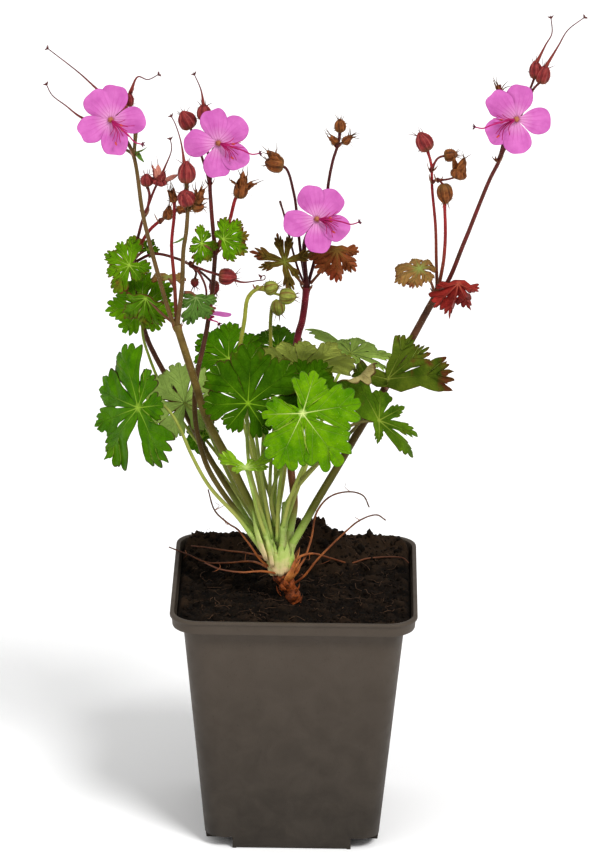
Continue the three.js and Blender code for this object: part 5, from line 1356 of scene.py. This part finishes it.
def sepal(base, ahead, side, length, width, lean, curl, seed, skins, cup=0.35):
    """A pointed, boat-shaped sepal: it starts at its base, leant from ahead to one side."""
    rows, columns = SEPAL_GRID
    u, v = np.meshgrid(np.linspace(0, 1, rows), np.linspace(-1, 1, columns), indexing="ij")
    angle = (lean + curl * u[:, 0])[:, None]
    spine = np.cumsum(np.cos(angle) * ahead + np.sin(angle) * side, axis=0) * length / rows + base
    inward = (np.sin(angle) * ahead - np.cos(angle) * side)[:, None]
    breadth = 0.5 * width * (np.sin(math.pi * np.clip(u, 0.05, 1) ** 0.7) ** 0.8 + 0.04)
    hollow = cup * breadth * v ** 2 + 0.07 * width * waves(u * length, v * width, width, seed, 4)
    points = (spine[:, None] + (v * breadth)[..., None] * np.cross(ahead, side)
              + hollow[..., None] * inward)
    # The seam mark falls to nothing at the sepal's edges, where the skin lays painted shade.
    marks = {"rib": np.cos(4 * math.pi * v).ravel(), "seam": (1 - v ** 8).ravel(), "along": u.ravel()}
    return thicken(points.reshape(-1, 3), sheet_faces(rows, columns), SEPAL_THICKNESS, marks, skins)


# How each kind of bud looks: its skin and that of its bristles, the share of its length that the
# fruit fills, and its neck. Where it is open, how far its sepals lean out and curl, in radians, and
# for some their count, their inner skin, their width and a count of loose threads.
BUD_KINDS = {
    "calyx": {"skins": (CRIMSON, CRIMSON_AWN), "fruit": 1.0, "neck": 0.34},
    "dry": {"skins": (DRIED, BROWN_AWN), "fruit": 1.0, "neck": 0.16},
    "green": {"skins": (GREEN, BROWN_AWN), "fruit": 1.0, "neck": 0.12},
    "star": {"skins": (CRIMSON, CRIMSON_AWN), "fruit": 0.35, "neck": 0.2, "lean": (0.25, 1.1),
             "curl": (-0.3, 0.15), "count": 4, "inside": CALYX_INSIDE, "slim": 0.48},
    "gaping": {"skins": (DRIED, BROWN_AWN), "fruit": 0.5, "neck": 0.2, "lean": (0.35, 0.75),
               "curl": (-1.1, -0.5)},
    "ragged": {"skins": (DRIED, BROWN_AWN), "fruit": 0.8, "neck": 0.6, "lean": (-0.1, 0.6),
               "curl": (-1.4, 0.8), "count": 7, "threads": 5},
}


def fruit(base, ahead, right, up, length, width, neck, seed, skin):
    """The ribbed urn of a closed calyx, or of the fruit in an open one, and its points."""
    draw = np.random.default_rng(seed)
    columns = 40
    outline = smooth_route([(0.0, 0.0, 0), (0.3, 0.03, 0), (0.46, 0.18, 0), (0.5, 0.42, 0),
                            (0.44, 0.66, 0), (0.27, 0.86, 0), (neck * 0.3, 1.0, 0)], 3)
    across, rise = outline[1:, 0] * width, outline[1:, 1] * length
    share = (rise / length)[:, None]
    turns = np.linspace(0, 2 * math.pi, columns, endpoint=False)
    lobes = np.cos(2.5 * (turns[None, :] + 0.35 * share)) ** 2
    ribs = np.cos(15 * turns)[None, :]
    swell = (1 + 0.1 * (lobes - 0.5) * (1 + share) + 0.05 * ribs
             + 0.06 * (draw.random(columns) - 0.5))
    points = (base + (across[:, None] * swell)[..., None]
              * (np.cos(turns)[None, :, None] * right + np.sin(turns)[None, :, None] * up)
              + rise[:, None, None] * ahead)
    # The seam mark is low in the creases between the lobes, where the skin lays painted shade.
    body = stack(points, base, base + (rise[-1] + 0.1) * ahead, skin,
                 rib=np.append(np.broadcast_to(ribs, points.shape[:2]), [0, 0]),
                 seam=np.append(lobes, [0.5, 0.5]),
                 along=np.append(np.repeat(rise / length, columns), [0, 1]))
    return body, points


def cross_axes(ahead, hint):
    """Two directions across a third one."""
    right = unit(np.cross(ahead, hint))
    return right, np.cross(ahead, right)


def bud(place, direction, length, width, kind, seed):
    """A calyx of ribbed sepals round its fruit, with a spreading awn on each tip."""
    draw = np.random.default_rng(seed)
    look = BUD_KINDS[kind]
    skin, bristle = look["skins"]
    ahead = unit(np.array(direction, float))
    right, up = cross_axes(ahead, (0.21, -0.93, 0.3))
    base = np.array(place, float) + (0, 0, SOIL_LEVEL) - 0.1 * length * ahead
    filled = look["fruit"]
    body, points = fruit(base, ahead, right, up, filled * length,
                         width * (1 if filled == 1 else 0.85), look["neck"], seed, skin)
    parts = [body]
    count = look.get("count", 5)
    for lobe in range(count):
        turn = 2 * math.pi * lobe / count + 0.3 * draw.normal()
        side = math.cos(turn) * right + math.sin(turn) * up
        foot = base + 0.86 * length * ahead + 0.18 * width * side
        heading = ahead + draw.uniform(0.3, 1.1) * side
        if "lean" in look:
            lean, curl = draw.uniform(*look["lean"]), draw.uniform(*look["curl"])
            reach = length * draw.uniform(0.85, 1.1)
            leaf = sepal(base + 0.1 * width * side, ahead, side, reach, look.get("slim", 0.62) * width,
                         lean, curl, seed + lobe, (skin, look.get("inside", skin)))
            parts += leaf
            foot = leaf[0]["points"][SEPAL_TIP]
            heading = math.cos(lean + curl) * ahead + math.sin(lean + curl) * side
        parts.append(spike(foot, heading, draw.uniform(2.0, 3.6), 0.19, bristle, draw.normal(0, 0.3)))
    for _ in range(BRISTLE_COUNT):
        foot = points[draw.integers(3, len(points) - 4), draw.integers(0, points.shape[1])]
        side = foot - base - (foot - base).dot(ahead) * ahead
        parts.append(spike(foot - 0.05 * side, side + 0.3 * ahead, draw.uniform(0.7, 1.4), 0.07,
                           bristle))
    for _ in range(look.get("threads", 0)):
        heading = draw.normal(0, 1, 3) * (1, 1, 0.6) - (0, 0, 0.5)
        foot = base + draw.uniform(0.1, 0.8) * length * ahead
        parts.append(spike(foot, heading, draw.uniform(4, 7), 0.09, bristle, draw.normal(0, 0.8)))
    return parts


def stigma(place, ahead, skin):
    """The five short branches that curl out at the end of a style."""
    parts = []
    right, up = cross_axes(ahead, (0.2, 0.9, 0.3))
    for branch in range(STIGMA_BRANCHES):
        turn = 2 * math.pi * branch / STIGMA_BRANCHES
        side = math.cos(turn) * right + math.sin(turn) * up
        parts.append(spike(place - 0.2 * ahead, 0.5 * ahead + side, 1.25, 0.42, skin, 0.1))
    return parts


def long_style(route):
    """A style that outlives its flower and thickens to its foot in the calyx."""
    points = np.array(raised(route))
    part = tube(points, 0.42, 8, 6, 0.7, STYLE, 0.05, 3,
                lambda share: 0.6 + 1.3 * np.exp(-(share / 0.28) ** 1.4))
    return [part, *stigma(points[-1], unit(points[-1] - points[-2]), CRIMSON_AWN)]


def hairs(route, radius, count, seed):
    """Short soft hairs that stand out from a stem, each a thin three-sided spike."""
    points = smooth_route(raised(route), 6)
    right, up = ring_frames(points)
    draw = np.random.default_rng(seed)
    corners, faces = [], []
    for hair in range(count):
        row = draw.integers(0, len(points) - 1)
        share, turn = draw.random(), draw.uniform(0, 2 * math.pi)
        foot = points[row] + share * (points[row + 1] - points[row])
        side = math.cos(turn) * right[row] + math.sin(turn) * up[row]
        beside = math.cos(turn + 1.6) * right[row] + math.sin(turn + 1.6) * up[row]
        base = foot + 0.8 * radius * side
        ahead = np.cross(side, beside)
        corners += [base + 0.05 * beside, base - 0.05 * beside, base + 0.08 * ahead,
                    base + (0.2 * radius + draw.uniform(0.3, 0.6)) * side + draw.normal(0, 0.12) * ahead]
        first = 4 * hair
        faces += [(first, first + 1, first + 3), (first + 1, first + 2, first + 3),
                  (first + 2, first, first + 3), (first, first + 2, first + 1)]
    return shell(np.array(corners), [np.array(faces)], HAIR, along=0.6)


def calyx_skin(name, low, high, rib, seam):
    """A ribbed skin, duller at its foot, with painted shade darkening its seams."""
    finish = Finish(name, 0.5, Specular_IOR_Level=0.2)
    colour = finish.mottle(1.4, 4.0, low, high)
    colour = finish.tint(colour, rib, finish.mark("rib"), 0.35, 0.95, 0.0, 0.75)
    # Painted shade: darker in the creases between the fruit's lobes and along the sepals' edges.
    colour = finish.tint(colour, seam, finish.mark("seam"), 0.0, 0.25, 0.75, 0.0)
    colour = finish.tint(colour, (112, 92, 50), finish.mark("along"), 0.0, 0.35, 0.5, 0.0)
    finish.relief(finish.noise(0.35, 3.0), 0.12)
    return finish.done(colour)


# The open flowers: where the middle of each is, how its face turns and tilts, and the clock
# angles of its petals and of the way its stamens lean, all in degrees. Lengths are in mm.
OPEN_FLOWER = {"lengths": [12.4] * 5, "sepals": 6.4, "faded": 1}
FLOWERS = {
    "flower_1": {**OPEN_FLOWER, "place": (-66.5, -18, 183.5), "face": (-5, 18),
                 "petals": [-41, 6, 89, 168, 242], "lean": 125},
    "flower_2": {**OPEN_FLOWER, "place": (-29, 0, 170), "face": (5, 15),
                 "petals": [-11, 51, 129, 185, 270], "lean": 105},
    "flower_3": {**OPEN_FLOWER, "place": (6.5, 14, 137.5), "face": (5, 18),
                 "petals": [-16, 39, 116, 178, 259], "lean": 96},
    "flower_4": {**OPEN_FLOWER, "place": (77.5, -4, 181.5), "face": (-5, 15),
                 "petals": [5, 93, 176, 234, 310], "lean": 257},
    "flower_5": {"place": (-33.5, -1.5, 106), "face": (0, -95), "petals": [45, 95, 165, 235, 275],
                 "lean": 60, "lengths": [3, 9.5, 3, 7, 8.5], "faded": 0.4, "sepals": 3.4},
}


def flower_turn(shape):
    """Carries places from a flower's own plane, in mm from its middle, to the world."""
    return facing((*shape["face"], 0), shape["place"])


def open_calyx(shape):
    """The five pointed sepals and the cup behind an open flower."""
    turn = flower_turn(shape)
    cup = [turn(point) for point in ((0, 0, -3.9), (0, 0, -2.4), (0, 0, -0.9))]
    parts = [tube(cup, 1.0, 14, 4, 1.7, CRIMSON, 0.04, 3)]
    ahead, middle = turn((0, 0, 1)) - turn((0, 0, 0)), turn((0, 0, -1.4))
    length = shape["sepals"]
    for clock in shape["petals"]:
        angle = math.radians(clock + 10)
        side = turn((math.sin(angle), math.cos(angle), 0)) - turn((0, 0, 0))
        parts += sepal(middle + 0.7 * side, ahead, side, length, 3.0, 1.75, -0.2, 3,
                       (CRIMSON, CRIMSON), -0.2)
        awn_foot = middle + (length + 0.2) * side - 1.3 * ahead
        parts.append(spike(awn_foot, side, 1.4, 0.1, CRIMSON_AWN))
    return parts


# The record's slot of each stem, and its colours: two for the stem, its foot and its branches.
STEM_LOOKS = {
    "stemBrown": ("stem_brown", (70, 42, 32), (100, 62, 46), (104, 96, 44), (116, 44, 44)),
    "stemOlive": ("stem_olive", (118, 122, 40), (146, 148, 62), (150, 166, 76), (120, 110, 50)),
    "stemGreenFoot": ("stem_brown", (70, 44, 30), (98, 64, 44), (82, 86, 26), (116, 44, 44)),
    "stemMixed": ("stem_olive", (92, 74, 36), (128, 108, 58), (112, 116, 46), (110, 84, 52)),
    "stemCrimson": ("stem_crimson", (84, 24, 34), (128, 40, 54), (116, 84, 44), (78, 44, 40)),
}
SHARED_SKINS = [
    calyx_skin("calyx_crimson", (110, 34, 38), (150, 60, 58), (186, 112, 100), (78, 24, 30)),
    calyx_skin("dried_head", (88, 46, 20), (146, 88, 44), (176, 120, 66), (50, 24, 14)),
    calyx_skin("green_head", (112, 122, 48), (150, 154, 70), (96, 66, 36), (110, 60, 34)),
    stalk_skin("awns_crimson", (84, 40, 44), (116, 70, 66)),
    stalk_skin("awns_brown", (70, 44, 30), (118, 84, 58)),
    stalk_skin("long_styles", (78, 32, 40), (112, 58, 62), (136, 62, 52)),
    crown_skin("joint_scales", (150, 96, 60), (120, 70, 46), (84, 44, 34)),
    stalk_skin("stem_hairs", (196, 176, 150), (222, 206, 180)),
    stalk_skin("red_stalks", (124, 28, 34), (158, 48, 50), (120, 70, 46)),
    calyx_skin("calyx_inside", (206, 138, 122), (226, 168, 148), (190, 110, 96), (170, 90, 80)),
    crown_skin("small_leaves", (70, 110, 20), (96, 134, 30), (60, 84, 24)),
]


def joint_swell(length, start):
    """How a stem of this length widens at its joints, by the share start at its first one."""
    return lambda share: (1 + start * np.exp(-(share * length / 1.8) ** 2)
                          + 0.35 * np.exp(-((1 - share) * length / 1.5) ** 2))


def make_stem(name, shape, seed):
    slot, low, high, foot, top = STEM_LOOKS[shape["look"]]
    skins = [stalk_skin(name + "_stalk", low, high, foot, PALE_BASE),
             stalk_skin(name + "_branches", low, top), *SHARED_SKINS]
    shells = []
    for place, (route, radius, *rest) in enumerate(shape["stems"]):
        taper, flower = (*rest, *(0.8, None)[len(rest):])
        if flower:
            behind = flower_turn(FLOWERS[flower])((0, 0, -3.6)) - (0, 0, SOIL_LEVEL)
            route = [*route, tuple(behind)]
            shells += open_calyx(FLOWERS[flower])
        length = sum(math.dist(one, two) for one, two in zip(route, route[1:]))
        skin = BRANCH if place else STALK
        if place in shape.get("red", ()):
            skin = RED_STALK
        shells.append(tube(raised(route), radius, 12, 8, taper, skin, 0.05, place,
                           joint_swell(length, 0.75 if place else 0.05)))
        shells.append(hairs(route, radius, int(HAIRS_PER_MM * length), seed + place))
        if place and math.dist(route[0], shape["stems"][place - 1][0][0]) > 1:
            shells += fork(route[0], radius, seed + place)
    for foot, tip, width in shape.get("leaflets", []):
        shells += sheath(*raised([foot, tip]), width, 0.4, seed, LEAFLET)
    for place, details in enumerate(shape["buds"]):
        shells += bud(*details, seed + 80 + place)
    for route in shape.get("styles", []):
        shells += long_style(route)
    make_piece(name, shells, skins, name)


for place, (name, shape) in enumerate(FLOWER_STEMS.items()):
    make_stem(name, shape, 300 + 50 * place)

# -------- leaves on the stems
# Smaller, deeply cut leaves at the forks. The young ones are green with reddish teeth, and the
# older ones have turned brown or crimson, and curl as they dry.

BRACT_STALK = {"stalk": (112, 70, 56), "stalk_high": (142, 108, 70), "stalk_foot": (122, 76, 56),
               "base": None}
# Each look's colour for the back is the leaf's paler underside, brightened further as painted light
# shining through the blade.
BRACT_LOOKS = {
    "green": {"low": (66, 108, 6), "high": (108, 154, 16), "vein": (156, 188, 74),
              "margin": (104, 56, 40), "blotch": (112, 88, 34), "share": 0.45, "hub": 0.08,
              "under": (124, 146, 60), "rim": 0.84},
    "olive": {"low": (80, 62, 28), "high": (112, 92, 42), "vein": (124, 128, 58),
              "margin": (106, 46, 34), "blotch": (124, 62, 44), "share": 0.55, "hub": 0.2,
              "under": (108, 80, 44)},
    "rust": {"low": (118, 62, 36), "high": (152, 90, 56), "vein": (132, 102, 54),
             "margin": (118, 50, 36), "blotch": (142, 66, 46), "share": 0.5, "hub": 0.3,
             "under": (120, 72, 46)},
    "tan": {"low": (122, 88, 50), "high": (156, 122, 74), "vein": (140, 152, 84),
            "margin": (112, 44, 36), "blotch": (132, 58, 46), "share": 0.5, "hub": 0.3,
            "under": (140, 112, 72)},
    "crimson": {"low": (112, 34, 36), "high": (174, 56, 54), "vein": (176, 88, 74),
                "margin": (74, 26, 30), "blotch": (92, 52, 48), "share": 0.5, "hub": 0.1,
                "under": (118, 48, 46)},
    "sage": {"low": (72, 106, 42), "high": (106, 140, 68), "vein": (142, 166, 98),
             "margin": (96, 70, 44), "blotch": (96, 80, 44), "share": 0.25, "hub": 0.05,
             "under": (124, 146, 84)},
    "green_tinged": {"low": (56, 76, 16), "high": (92, 106, 32), "vein": (124, 134, 58),
                     "margin": (92, 46, 30), "blotch": (100, 56, 34), "share": 0.6, "hub": 0.05,
                     "under": (112, 126, 60)},
}
STEM_LEAVES = {
    "bract_a_front": {
        "route": [(-59.5, 8, 123.5), (-60, 4, 123), (-61, 3, 122.5)],
        "look": "green", "slot": "bract_green", "size": 10.8, "face": (-15, 15, 0),
        "edge": SCALLOPED, "cut": 0.5, "angles": [-152, -114, -72, -34, 5, 92, 138],
        "lengths": [1.1, 0.9, 0.98, 0.9, 1.03, 0.76, 0.62]},
    "bract_a_back": {
        "route": [(-60, 11.5, 121.5), (-57.5, 14, 123.5), (-55, 14, 125)],
        "look": "green", "slot": "bract_green", "size": 4.6, "face": (0, 10, 30), "step": 60,
        "lengths": [0.8, 1, 1, 1, 0.8]},
    "bract_b_left": {
        "route": [(-44.5, -6, 103.5), (-49.5, -4, 107), (-55, -3, 112)],
        "look": "green", "slot": "bract_brown", "size": 14, "face": (-20, -10, 190), "step": 34,
        "crease": 0.2, "edge": SCALLOPED, "cut": 0.55, "lengths": [0.6, 0.9, 1, 1, 0.7],
        "bends": {0: (0.4, 80), 4: (0.4, 50)}},
    "bract_b_curled": {
        "route": [(-44.5, -4.5, 117), (-46, -1, 118), (-47, 2, 118.5)],
        "look": "tan", "slot": "bract_brown", "size": 8, "face": (-10, 50, 0), "crease": 0.2,
        "angles": [-88, 84], "lengths": [1, 0.95], "droop": 70},
    "bract_c_left": {
        "route": [(-31, 4, 128), (-32.5, 2, 130), (-34.9, 1, 132)],
        "look": "green", "slot": "bract_green", "size": 8.4, "face": (25, 10, 0), "edge": SCALLOPED,
        "angles": [-165, -122, -62, 4, 40, 112, 152], "cut": 0.5,
        "lengths": [0.98, 0.66, 0.5, 0.82, 0.66, 0.88, 1], "droop": 15},
    "bract_c_right": {
        "route": [(-28.5, 3.5, 130), (-27.5, -1, 132.5), (-26.9, -3.5, 135)],
        "look": "green", "slot": "bract_green", "size": 9, "face": (-20, 10, 0), "edge": SCALLOPED,
        "angles": [-58, 0, 40, 76, 112, 152], "lengths": [0.5, 0.9, 1.08, 1.15, 1.15, 0.98],
        "cut": 0.5, "bends": {3: (0.6, 60)}},
    "bract_b_low": {
        "route": [(-40.5, -10.5, 117), (-38.5, -9, 116.5), (-36.5, -7, 114)],
        "look": "sage", "slot": "bract_green", "size": 11.5, "face": (10, -6, 195), "step": 44,
        "edge": SCALLOPED, "cut": 0.5, "lengths": [0.7, 0.9, 1, 0.6, 0.45]},
    "bract_d_left": {
        "route": [(1.5, 21.5, 110), (-1.5, 18, 115), (-5, 16, 120.5)],
        "look": "olive", "slot": "bract_brown", "size": 12, "face": (-10, 20, -80), "step": 30,
        "angles": [-145, -115, -27, 2, 60, 85, 150], "lengths": [0.7, 1, 0.85, 1.15, 0.9, 0.85, 0.95]},
    "bract_d_right": {
        "route": [(4.5, 23, 110), (9, 20.5, 116.5), (14, 19.5, 124)],
        "look": "rust", "slot": "bract_brown", "size": 12.5, "face": (15, 5, 180), "step": 40,
        "edge": SCALLOPED, "cut": 0.7, "crease": 0.3, "lengths": [0.7, 0.9, 1, 0.9, 0.9]},
    "bract_e_left": {
        "route": [(49.5, 4.5, 113.5), (47, 2, 120), (44, 1, 123.5)],
        "look": "tan", "slot": "bract_brown", "size": 11.5, "face": (-15, 68, -80), "droop": 45,
        "edge": TOOTHED, "cut": 0.5, "crease": 0.2, "lengths": [0.7, 0.85, 1, 1, 0.8, 0.7, 0.6]},
    "bract_e_right": {
        "route": [(52, 4, 114.5), (54.5, 1, 117.5), (58, -1, 118.5)],
        "look": "crimson", "slot": "bract_crimson", "size": 14, "face": (20, -5, 190), "step": 36,
        "crease": 0.4, "wave": 0.09, "edge": TOOTHED, "cut": 0.7, "lengths": [0.7, 0.9, 1, 0.9, 0.6]},
    "leaf_08_on_stem_e": {
        "route": [(32.5, 1.5, 77), (32.5, -0.5, 79.5), (33, -2, 82)],
        "look": "green_tinged", "slot": "leaf", "size": 22, "face": (-20, 20, 0), "edge": TOOTHED,
        "angles": [-84, 20, 44, 77], "lengths": [0.78, 0.87, 0.9, 1.2], "droop": 25, "step": 34,
        "bends": {0: (0.4, 50), 3: (0.55, -40)}},
}

for place, (name, shape) in enumerate(STEM_LEAVES.items()):
    shape = {"edge": CLEFT, "radius": 0.55, "fine": 2, "rows": 8, **shape}
    look = {**BRACT_STALK, **BRACT_LOOKS[shape["look"]]}
    make_leaf(name, shape, look, 700 + 7 * place)

# -------- flowers
# Five overlapping, satiny petals, orchid pink with darker veins from a pale claw. Magenta
# filaments with orange-red anthers and one long style all lean the same way from the middle.

FILAMENT, ANTHER, OVARY, STIGMA = range(4)
PETAL_THICKNESS = 0.16
STAMEN_COUNT = 10
ANTHERS_LEFT = (2, 4, 7)


def petal_skin():
    finish = Finish("petal", 0.5, Specular_IOR_Level=0.15)
    reach = finish.mark("reach")
    colour = finish.mottle(4.0, 3.0, (186, 94, 166), (202, 114, 182))
    colour = finish.tint(colour, (226, 176, 208), reach, 0.1, 0.5, 0.55, 0.0)
    wander = finish.combine("MULTIPLY", finish.noise(3.5), 4.0)
    across = finish.combine("MULTIPLY", finish.mark("fan"), 38.0)
    lines = finish.combine("SINE", finish.combine("ADD", across, wander))
    veins = finish.combine("MULTIPLY", finish.span(lines, 0.6, 1.0),
                           finish.span(reach, 0.1, 0.75, 0.6, 0.06))
    colour = finish.mix(veins, colour, (164, 48, 130))
    colour = finish.tint(colour, (128, 56, 54), reach, 0.03, 0.14, 0.8, 0.0)
    colour = finish.tint(colour, (150, 66, 136), finish.mark("margin"), 0.95, 0.99, 0.0, 0.5)
    height = finish.combine("ADD", finish.combine("MULTIPLY", lines, 0.3), finish.noise(0.4))
    finish.relief(height, 0.08)
    return finish.done(colour)


def petal(length, width, turned, tilt, seed):
    """One petal in the flower's own plane, from its narrow claw to its broad, rounded end."""
    outline = smooth_route([(0, 1.0, 0), (0.12, 0.99, 0), (0.25, 0.935, 0), (0.355, 0.82, 0),
                            (0.4, 0.67, 0), (0.375, 0.5, 0), (0.27, 0.32, 0), (0.12, 0.15, 0),
                            (0.05, 0.02, 0)], 4)
    edge_x, edge_y = outline[:, 0] * width * 2 * length, outline[:, 1] * length
    spine = np.minimum.accumulate(np.maximum(0.95 * edge_y - 0.55 * edge_x, 0.02 * length))
    out = np.append(np.linspace(0, 0.95, 9), 1.0)[:, None]
    points, marks, faces, total = [], [], [], 0
    for side in (-1, 1):
        ragged = 1 + 0.028 * waves(side * edge_x, edge_y, 7.0, seed + 3)
        x = side * out * edge_x * ragged
        y = spine + out * (edge_y * ragged - spine)
        reach = np.hypot(x, y) / length
        z = (0.09 * reach ** 2 * length - 0.02 * x ** 2 + tilt * x * np.clip(reach * 2, 0, 1)
             + 0.02 * length * waves(x, y, 8.0, seed, 5) * reach
             - 0.05 * length * np.clip(reach - 0.75, 0, 1) ** 2 * 6)
        angle = math.radians(turned)
        points.append(np.stack([x * math.cos(angle) + y * math.sin(angle),
                                y * math.cos(angle) - x * math.sin(angle), z], -1).reshape(-1, 3))
        fan_out = np.arctan2(x, y + 0.22 * length)
        marks.append(np.stack([reach, fan_out, np.broadcast_to(out, x.shape)], -1).reshape(-1, 3))
        faces.append(sheet_faces(len(out), len(edge_x), side < 0) + total)
        total += x.size
    return weld(points, marks, faces, ("reach", "fan", "margin"))


def make_flower(name, shape, seed):
    turn = flower_turn(shape)
    shells = []
    for place, (clock, length) in enumerate(zip(shape["petals"], shape["lengths"])):
        width = 0.5 if length > 10 else 0.34
        points, faces, marks = petal(length, width, clock, 0.07, seed + place)
        points[:, 2] += 0.1 * place
        shells += thicken(turn(points), faces, PETAL_THICKNESS, marks, (0, 0))
    make_piece(name + "_petals", shells, [PETAL_SKIN], name + "_petals")
    make_stamens(name + "_stamens", shape, turn, seed)


def anther(place, ahead):
    """A small plump anther at the end of its filament."""
    ends = [place - 0.7 * ahead, place, place + 0.7 * ahead]
    return tube(ends, 0.3, 8, 4, 1.0, ANTHER, 0.2, 5,
                lambda share: 0.3 + 0.9 * np.sin(math.pi * np.clip(share, 0.03, 0.97)) ** 0.7)


def leaning(lean, foot, steps):
    """A route from the ovary by steps: how far out, how far off the lean in degrees, how high."""
    route = [(0, 0, foot)]
    for out, swing, rise in steps:
        angle = math.radians(lean + swing)
        route.append((out * math.sin(angle), out * math.cos(angle), rise))
    return np.array(route)


def ovary_lobes(turns, rises):
    return 1 + 0.12 * np.cos(5 * turns)


def make_stamens(name, shape, turn, seed):
    """The five-lobed ovary, the stamens and the style, which in a faded flower are shorter."""
    draw = np.random.default_rng(seed + 9)
    shells = [round_body((0, 0, 1.0), (1, 1, 1.3), (20, 12), ovary_lobes, OVARY, turn)]
    lean, faded = shape["lean"], shape["faded"]
    fall = 1 if lean < 180 else -1
    for place in range(STAMEN_COUNT):
        spread = fall * ((place - 3.5) * 7.5 + draw.normal(0, 2))
        outermost = place in (0, STAMEN_COUNT - 1)
        reach = draw.uniform(5, 6.5) if outermost else draw.uniform(6.8, 9.2)
        lift = draw.uniform(2.0, 3.6)
        steps = [(0.3 * reach, 0.6 * spread, lift), (0.65 * reach, 0.85 * spread, 1.2 * lift),
                 (reach, 1.3 * spread, draw.uniform(0.8, 1.5) * lift)]
        points = turn(faded * leaning(lean, 0.9, steps))
        shells.append(tube(points, 0.2, 6, 6, 0.6, FILAMENT))
        if place in ANTHERS_LEFT:
            end = points[3 if place == ANTHERS_LEFT[-1] else 2]
            shells.append(anther(end, unit(points[2] - points[1])))
    steps = [(4.5, -fall, 4.4), (9, 2 * fall, 5.2), (12.2, 4 * fall, 5.6), (15, -fall, 7)]
    points = turn(faded * leaning(lean, 1.2, steps))
    shells.append(tube(points, 0.32, 8, 6, 0.7, FILAMENT))
    shells += stigma(points[-1], unit(points[-1] - points[-2]), STIGMA)
    make_piece(name, shells, STAMEN_SKINS, name)


PETAL_SKIN = petal_skin()
STAMEN_SKINS = [stalk_skin("filaments", (150, 18, 86), (184, 40, 112)),
                stalk_skin("anthers", (176, 50, 62), (206, 92, 80)),
                stalk_skin("ovary", (150, 92, 62), (186, 130, 92)),
                stalk_skin("stigma", (72, 26, 40), (106, 46, 62))]
for place, (name, shape) in enumerate(FLOWERS.items()):
    make_flower(name, shape, 900 + 20 * place)

# -------- studio
# A plain pale floor under an even white sky, with a broad light to the right of the camera and
# a weaker one to its left.

FLOOR_HALF = 6.0

# The camera's lens in mm, its roll in degrees, and the places in mm where it aims and stands.
LENS = 216.75
ROLL = 0.57
AIM = (1.3, 0, 152.3)
EYE = (18.2, -1785.3, 802.1)


def make_floor():
    mesh = bpy.data.meshes.new("floor")
    corners = [(FLOOR_HALF * x, FLOOR_HALF * y, 0) for x, y in QUARTERS]
    mesh.from_pydata(corners, [], [(0, 1, 2, 3)])
    finish = Finish("floor", 0.9)
    colour = finish.mix(finish.noise(40.0), (252, 252, 252), (255, 255, 255))
    mesh.materials.append(finish.done(colour))
    add_object("floor", mesh)


def soft_light(name, azimuth, elevation, power, softness):
    """A broad light from one side of the camera (in degrees to its right) and this high."""
    light = bpy.data.lights.new(name, "SUN")
    light.energy = power
    light.angle = math.radians(softness)
    item = add_object(name, light)
    turn, rise = math.radians(azimuth), math.radians(elevation)
    item.location = (math.sin(turn) * math.cos(rise), -math.cos(turn) * math.cos(rise),
                     math.sin(rise))
    item.rotation_euler = (-item.location).to_track_quat("-Z", "Y").to_euler()


make_floor()
world = bpy.data.worlds.new("studio")
world.use_nodes = True
world.node_tree.nodes["Background"].inputs["Color"].default_value = (1, 1, 1, 1)
world.node_tree.nodes["Background"].inputs["Strength"].default_value = 0.5
bpy.context.scene.world = world
soft_light("key", azimuth=34, elevation=50, power=1.85, softness=18)
soft_light("fill", azimuth=-45, elevation=40, power=0.55, softness=60)

camera = add_object("camera", bpy.data.cameras.new("camera"))
camera.data.sensor_width = 36
camera.data.lens = LENS
camera.data.clip_end = 50
ahead = Vector(AIM) * MM - Vector(EYE) * MM
turned = ahead.to_track_quat("-Z", "Y").to_matrix() @ Matrix.Rotation(math.radians(ROLL), 3, "Z")
camera.matrix_world = Matrix.Translation(Vector(EYE) * MM) @ turned.to_4x4()
bpy.context.scene.camera = camera
bpy.context.scene.view_settings.view_transform = "Standard"
bpy.context.scene.view_settings.look = "Medium High Contrast"
